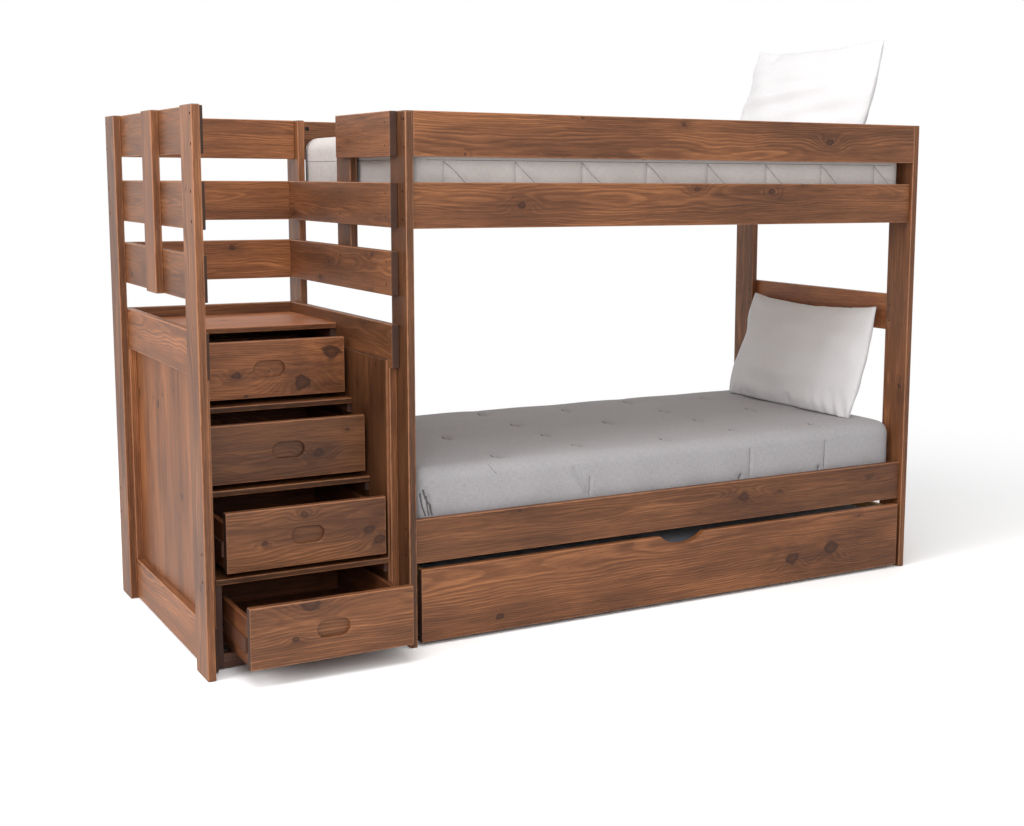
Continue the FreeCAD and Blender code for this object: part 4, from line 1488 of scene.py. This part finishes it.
@dataclass
class Pillow:
    """A stuffed pillow in a cotton case, stood on edge and leaning back."""

    name: str
    node: str
    height: float
    seed: int
    width: float = 0.79
    thick: float = 0.13
    lean: float = 16.5
    cell: float = 0.0085
    bow: float = 0.014
    crown: float = 0.01
    plump: float = 0.1
    rest: float = 0.014
    sag: float = 0.026
    dent: float = 0.028
    crease: float = 0.005
    slump: float = 0.45
    pressure: float = 1.0
    frames: int = 16
    lump: float = 0.12
    pinch: float = 0.45
    pinch_reach: float = 0.3
    dent_place: float = 0.58
    dent_reach: float = 0.17
    gather_reach: float = 0.16
    gather_pitch: float = 0.0085

    def case(self) -> bpy.types.Object:
        """Models the empty case, lying flat about the origin.

        Returns:
            The case.
        """
        size = Vector((self.width, self.height, self.plump))
        cuts = (round(size.x / self.cell), round(size.y / self.cell), 3)
        piece = gridded_block(self.name, size, cuts)
        places = read_places(piece)
        store_vectors(piece.data, "cloth", places * [1, 1, 0])
        share = places / np.array(size) * 2
        places[:, 0] += share[:, 0] * self.bow * (1 - share[:, 1] ** 2)
        places[:, 1] += share[:, 1] * self.crown * (1 - share[:, 0] ** 2)
        rim = np.clip(1 - np.abs(share[:, :2]) ** 3, 0, 1)
        places[:, 2] *= 0.1 + 0.9 * np.sqrt(rim[:, 0] * rim[:, 1])
        places[:, 2] += 0.002 * soft_noise(places, 0.12, self.seed) * np.sign(places[:, 2])
        write_places(piece, places)
        return piece

    def fill(self, piece: bpy.types.Object) -> None:
        """Blows the case up as its filling does.

        Args:
            piece: The case.
        """
        scene = bpy.context.scene
        cloth = piece.modifiers.new("fill", "CLOTH").settings
        cloth.use_pressure = True
        cloth.uniform_pressure_force = self.pressure
        cloth.effector_weights.gravity = 0.0
        cloth.quality = 8
        cloth.mass = 0.2
        cloth.tension_stiffness = cloth.compression_stiffness = 10.0
        cloth.shear_stiffness = 4.0
        cloth.bending_stiffness = 7.0
        cloth.air_damping = 2.0
        for number in range(1, self.frames + 1):
            scene.frame_set(number)
        apply_modifiers(piece)
        scene.frame_set(1)

    def swell(self, piece: bpy.types.Object) -> None:
        """Args:
            piece: The case.
        """
        places = read_places(piece)
        share = np.abs(places[:, :2]) / np.array([self.width, self.height]) * 2 / 1.06
        crown = np.clip(1 - share[:, 0] ** 4, 0, 1) ** 0.5 * np.clip(1 - share[:, 1] ** 4, 0, 1) ** 0.5
        places[:, 2] += np.sign(places[:, 2]) * crown * self.thick / 2
        write_places(piece, places)

    def rumple(self, places: np.ndarray) -> np.ndarray:
        """Sizes the filled case and gives it its slump, dent, sagging top edge and gathers.

        Args:
            places: The places of the case's vertices, lying flat.

        Returns:
            Their new places, still lying flat.
        """
        low, high = places.min(axis=0), places.max(axis=0)
        places = (places - (low + high) / 2) / (high - low)
        places[:, 2] *= 1 - self.slump * places[:, 1]
        places[:, 2] -= (places[:, 2].min() + places[:, 2].max()) / 2
        places[:, 2] /= np.ptp(places[:, 2])
        stretched = places * [self.width, 2 * self.height, 0]
        places[:, 2] *= 1 + self.lump * soft_noise(stretched, 0.2, self.seed)
        side, up = 2 * places[:, 0], places[:, 1] + 0.5
        rear, near = np.clip(-side, 0, 1) ** 3, np.clip(side * 1.6 - 0.6, 0, 1)
        places[:, 2] *= 1 - self.pinch * near * bell(up, self.pinch_reach)
        places *= [self.width, self.height, self.thick]
        places[:, 0] += self.dent * rear * bell(up, self.dent_reach, self.dent_place)
        places[:, 1] -= self.sag * (1 - side**2) * up**2
        gather = bell(up, self.gather_reach) * np.clip(np.abs(side) * 1.5 - 0.4, 0, 1)
        fold = np.cos((places[:, 0] + 0.35 * np.sign(side) * places[:, 1]) / self.gather_pitch)
        places[:, 2] += self.crease * gather * fold * (places[:, 2] > 0)
        return places

    def settle(self, piece: bpy.types.Object) -> None:
        """Leans the filled case in place of its solid and rests it on the mattress.

        Args:
            piece: The case.
        """
        places = self.rumple(read_places(piece))
        upright = Matrix(((0, 0, -1), (-1, 0, 0), (0, 1, 0)))
        turn = Matrix.Rotation(math.radians(self.lean), 3, "Y") @ upright
        low, high = (np.array(corner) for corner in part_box(self.node))
        places = places @ np.array(turn).T
        places += (low + high) / 2 - (places.min(axis=0) + places.max(axis=0)) / 2
        top, span = places[:, 2].max(), np.ptp(places[:, 2])
        places[:, 2] = top - (top - places[:, 2]) * (span + self.rest) / span
        above = (places[:, 2] - low[2]) / self.rest
        places[:, 2] = low[2] + self.rest * np.logaddexp(0.0, 3.0 * above) / 3.0
        write_places(piece, places)

    def build(self, book: FinishBook) -> bpy.types.Object:
        """Models, dresses and places the pillow.

        Args:
            book: The finishes.

        Returns:
            The pillow.
        """
        piece = self.case()
        self.fill(piece)
        modifier = piece.modifiers.new("soften", "SUBSURF")
        modifier.levels = modifier.render_levels = 1
        apply_modifiers(piece)
        self.settle(piece)
        smooth_shade(piece)
        book.dress(piece, Finish.PILLOW_COTTON)
        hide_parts(self.node)
        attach(piece, "frame")
        log.info("%s: %d faces", self.name, len(piece.data.polygons))
        return piece


@dataclass
class Bedding:
    """The three mattresses and the two pillows."""

    origin: Span = (0.7135, 0.4775)
    quilts: int = 8
    quilt_start: float = 0.147
    quilt_pitch: float = 0.2465
    seam_height: float = 1.515
    seam_inset: float = 0.05
    pleat_fold: Span = (0.004, 0.007)
    tuck_fold: Span = (0.006, 0.008)
    tuft_width: float = 0.007
    tuck_width: float = 0.006
    ridge_width: float = 0.0045
    pleats: tuple[Line, ...] = (
        ((-0.04, 0.475), (-0.041, 0.405)),
        ((0.623, 0.512), (0.625, 0.405)),
        ((0.968, 0.512), (0.963, 0.405)),
        ((-0.41, 0.548), (-0.385, 0.515)),
    )
    ridges: tuple[Line, ...] = (
        ((-0.12, 0.508), (-0.08, 0.452), (-0.046, 0.405)),
        ((-0.088, 0.527), (-0.06, 0.455), (-0.043, 0.405)),
    )
    tucks: tuple[Line, ...] = (
        ((-0.644, 0.491), (-0.634, 0.458), (-0.62, 0.44), (-0.614, 0.405)),
        ((-0.652, 0.48), (-0.648, 0.44), (-0.636, 0.405)),
        ((-0.632, 0.47), (-0.628, 0.43), (-0.624, 0.405)),
        ((0.588, 0.422), (0.578, 0.403)),
        ((0.94, 0.418), (0.934, 0.403)),
    )

    def quilt_places(self) -> list[float]:
        """The X of each quilted fold on the front of the upper mattress."""
        shift_x, _ = self.origin
        return [self.quilt_start + self.quilt_pitch * number - shift_x for number in range(self.quilts)]

    def tufts(self) -> Line:
        """Finds where the lower mattress is tufted.

        Returns:
            The places of its tufts, in the row frame.
        """
        rows = {0.374: (0.145, 0.533, 0.857), 0.707: (0.19, 0.413, 0.65, 0.93)}
        rows.update({1.04: (0.145, 0.540, 0.857), 1.373: (0.19, 0.422, 0.659, 0.93)})
        rows[1.706] = (0.145, 0.54, 0.857)
        shift_x, shift_y = self.origin
        return tuple((x - shift_x, y - shift_y) for x, column in rows.items() for y in column)

    def lower(self) -> Mattress:
        """Describes the grey mattress of the lower bunk.

        Returns:
            The mattress, yet to be built.
        """
        creases = [Crease(line[0], line[-1], *self.pleat_fold) for line in self.pleats]
        creases += [Crease(line[0], line[-1], *self.tuck_fold) for line in self.tucks]
        creases.append(Crease((-0.10, 0.515), (-0.045, 0.405), 0.006, 0.009))
        return Mattress(
            "grey_mattress",
            "lower_mattress",
            "frame",
            "mattress_grey",
            Finish.GREY_TICKING,
            seed=3,
            tufts=self.tufts(),
            front_creases=tuple(creases),
        )

    def upper(self) -> Mattress:
        """Describes the pale quilted mattress of the upper bunk.

        Returns:
            The mattress, yet to be built.
        """
        creases = []
        for x in self.quilt_places():
            creases.append(Crease((x, self.seam_height), (x, 1.43), *self.pleat_fold))
            creases.append(Crease((x, self.seam_height), (x + 0.085, 1.44), *self.pleat_fold))
        return Mattress(
            "pale_mattress",
            "upper_mattress",
            "frame",
            "mattress_light",
            Finish.PALE_TICKING,
            seed=8,
            front_creases=tuple(creases),
        )

    def trundle(self) -> Mattress:
        """The thin mattress of the trundle."""
        return Mattress(
            "guest_mattress",
            "trundle_mattress",
            "trundle",
            "mattress_light",
            # Painted shade: the dark ticking stands for the shade under the bed.
            Finish.GUEST_TICKING,
            seed=5,
            edge=0.03,
            cell=0.02,
        )

    def stitches(self) -> list[SeamLine]:
        """Lays out the stitching along the front and left sides of the upper mattress.

        Returns:
            Its lines.
        """
        (left, front, _), (right, rear, _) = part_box("upper_mattress")
        inset, height = self.seam_inset, self.seam_height
        along_front = ((left + inset, front, height), (right - inset, front, height))
        along_left = ((left, rear - inset, height), (left, front + inset, height))
        lines = [
            SeamLine("seam_front", along_front, (0, 1, 0)),
            SeamLine("seam_left", along_left, (1, 0, 0)),
        ]
        for number, x in enumerate(self.quilt_places()):
            upright = ((x, front, 1.512), (x, front, 1.40))
            lines.append(SeamLine(f"quilt_{number}_upright", upright, (0, 1, 0), width=0.0009))
            bend = (x + 0.036, front, 1.484 - 0.006 * (number % 3))
            slant = ((x, front, 1.512), bend, (x + 0.09, front, 1.43))
            lines.append(SeamLine(f"quilt_{number}_slant", slant, (0, 1, 0), width=0.0017))
        return lines

    def slits(self) -> list[SeamLine]:
        """Lays out the pulled-in tufts on the lower mattress, as strips of painted shade in their slits.

        Returns:
            One short line for each.
        """
        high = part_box("lower_mattress")[1][2]
        lines = []
        for number, (x, y) in enumerate(self.tufts()):
            slit = ((x - 0.006, y - 0.034, high), (x + 0.002, y, high), (x - 0.004, y + 0.034, high))
            lines.append(SeamLine(f"tuft_{number}", slit, (0, 0, -1), self.tuft_width, step=0.004))
        return lines

    def pleated(self) -> list[SeamLine]:
        """Lays out the pleats and the tucks down the front of the lower mattress, which are sewn as dark
        strips of painted shade along the folds.

        Returns:
            Their lines.
        """
        lines = [self.front_line(f"pleat_{number}", line) for number, line in enumerate(self.pleats)]
        for number, line in enumerate(self.tucks):
            lines.append(self.front_line(f"tuck_{number}", line, self.tuck_width))
        return lines

    def ridged(self) -> list[SeamLine]:
        """Lays out the raised folds at the left end of the lower mattress's front.

        Returns:
            Their lines.
        """
        lines = []
        for number, line in enumerate(self.ridges):
            lines.append(self.front_line(f"ridge_{number}", line, self.ridge_width))
        return lines

    def front_line(self, name: str, line: Line, width: float = 0.0016) -> SeamLine:
        """A line on the front of the lower mattress.

        Args:
            name: Its name.
            line: Its points, as X and Z in the row frame.
            width: Its width.

        Returns:
            The line to lay on the mattress.
        """
        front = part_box("lower_mattress")[0][1]
        return SeamLine(name, tuple((x, front, z) for x, z in line), (0, 1, 0), width)

    def sew(
        self, book: FinishBook, mattress: bpy.types.Object, lines: list[SeamLine], finish: Finish
    ) -> None:
        """Lays lines of stitching on a mattress.

        Args:
            book: The finishes.
            mattress: The mattress.
            lines: The lines.
            finish: Their finish.
        """
        surface = BVHTree.FromObject(mattress, bpy.context.evaluated_depsgraph_get())
        for line in lines:
            piece = line.build(surface)
            book.dress(piece, finish)
            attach(piece, "frame")
            log.info("%s: stitched", piece.name)

    def build(self, book: FinishBook) -> None:
        """Models every soft piece.

        Args:
            book: The finishes.
        """
        lower = self.lower().build(book)
        upper = self.upper().build(book)
        self.trundle().build(book)
        self.sew(book, lower, self.ridged(), Finish.GREY_TICKING)
        # Painted shade: dark strips in the tuft slits.
        self.sew(book, lower, self.slits(), Finish.TUFT_THREAD)
        # Painted shade: dark strips along the pleats and tucks.
        self.sew(book, lower, self.pleated(), Finish.SEAM_THREAD)
        self.sew(book, upper, self.stitches(), Finish.SEAM_THREAD)
        Pillow("head_pillow_lower", "lower_pillow", 0.44, seed=11).build(book)
        Pillow("head_pillow_upper", "upper_pillow", 0.40, seed=17).build(book)


# ---------------------------------------------------------------- the studio


@dataclass(frozen=True)
class Lamp:
    """A soft square lamp."""

    name: str
    place: Place
    aim: Place
    size: float
    power: float

    def build(self) -> None:
        """Hangs the lamp and turns it to what it lights."""
        deselect()
        bpy.ops.object.light_add(type="AREA", location=self.place)
        lamp = bpy.context.object
        lamp.name = self.name
        lamp.data.energy = self.power
        lamp.data.size = self.size
        lamp.rotation_euler = (Vector(self.aim) - lamp.location).to_track_quat("-Z", "Y").to_euler()


@dataclass
class Studio:
    """A white floor, plain soft light and the photograph's camera."""

    floor_radius: float = 16.0
    floor_drop: float = 0.0006
    floor_fade: Span = (2.2, 4.5)
    sky: float = 0.69
    eye: Place = (-2.4413, -4.5253, 1.4613)
    heading: float = -29.939
    tilt: float = 82.081
    roll: float = 0.334
    sensor: float = 36.0
    lens: float = 50.852
    shift: Span = (-0.06566, -0.03256)
    lamps: tuple[Lamp, ...] = (
        Lamp("key_lamp", (-6.5, -1.2, 3.2), (-0.2, 0.0, 0.8), 3.0, 205.0),
        Lamp("top_lamp", (-1.8, -1.2, 4.2), (-1.0, 0.1, 0.9), 3.0, 85.0),
        Lamp("fill_lamp", (-2.6, -5.4, 3.2), (0.4, 0.0, 0.5), 3.0, 92.0),
    )

    def floor(self) -> None:
        """A white floor that keeps the bed's shadow and fades to pure white."""
        deselect()
        bpy.ops.mesh.primitive_circle_add(vertices=96, radius=self.floor_radius, fill_type="NGON")
        piece = bpy.context.object
        piece.name = piece.data.name = "studio_floor"
        piece.location.z = -self.floor_drop
        bpy.ops.object.transform_apply(location=True, rotation=True, scale=True)
        material, n, shader = new_material("white_floor")
        shader.inputs["Roughness"].default_value = 1.0
        shader.inputs["Specular IOR Level"].default_value = 0.0
        place = n.add("ShaderNodeTexCoord").outputs["Object"]
        far = n.smooth(n.vector("LENGTH", place), *self.floor_fade)
        seen = n.add("ShaderNodeLightPath").outputs["Is Camera Ray"]
        n.feed(shader.inputs["Base Color"], n.blend(seen, (0.8, 0.8, 0.8, 1.0), (1.2, 1.2, 1.2, 1.0)))
        white = n.add("ShaderNodeEmission")
        mixed = n.add("ShaderNodeMixShader")
        n.feed(mixed.inputs[0], n.times(far, seen))
        n.feed(mixed.inputs[1], shader.outputs[0])
        n.feed(mixed.inputs[2], white.outputs[0])
        n.feed(material.node_tree.nodes["Material Output"].inputs[0], mixed.outputs[0])
        piece.data.materials.append(material)

    def light(self) -> None:
        """Even light from all round, and soft lamps from the left, above and the front."""
        scene = bpy.context.scene
        world = scene.world or bpy.data.worlds.new("white_room")
        scene.world = world
        world.use_nodes = True
        n = Nodes(world.node_tree)
        background = world.node_tree.nodes["Background"]
        path = n.add("ShaderNodeLightPath").outputs
        through = n.calc("MAXIMUM", path["Is Glossy Ray"], path["Is Transmission Ray"])
        shown = n.calc("MAXIMUM", path["Is Camera Ray"], through)
        background.inputs["Color"].default_value = (1.0, 1.0, 1.0, 1.0)
        n.feed(background.inputs["Strength"], n.plus(self.sky, n.times(shown, 1.0 - self.sky)))
        for lamp in self.lamps:
            lamp.build()

    def camera(self) -> None:
        """The camera as solved from the photograph's straight edges."""
        scene = bpy.context.scene
        data = bpy.data.cameras.new("photo_camera")
        camera = bpy.data.objects.new("photo_camera", data)
        scene.collection.objects.link(camera)
        turn = Matrix.Rotation(math.radians(self.heading), 4, "Z")
        turn = turn @ Matrix.Rotation(math.radians(self.tilt), 4, "X")
        turn = turn @ Matrix.Rotation(math.radians(self.roll), 4, "Z")
        camera.matrix_world = Matrix.Translation(self.eye) @ turn
        data.sensor_width = self.sensor
        data.lens = self.lens
        data.shift_x, data.shift_y = self.shift
        data.clip_end = 60.0
        scene.camera = camera
        scene.view_settings.view_transform = "Standard"

    def build(self) -> None:
        """Sets up the floor, the light and the camera."""
        self.floor()
        self.light()
        self.camera()
        log.info("studio: ready")


def main() -> None:
    """Dresses the bed piece by piece."""
    logging.basicConfig(level=logging.INFO, format="%(message)s")
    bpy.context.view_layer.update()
    book = FinishBook()
    Woodwork().dress(book)
    Fittings().dress(book)
    Bedding().build(book)
    Studio().build()


if __name__ == "__main__":
    main()
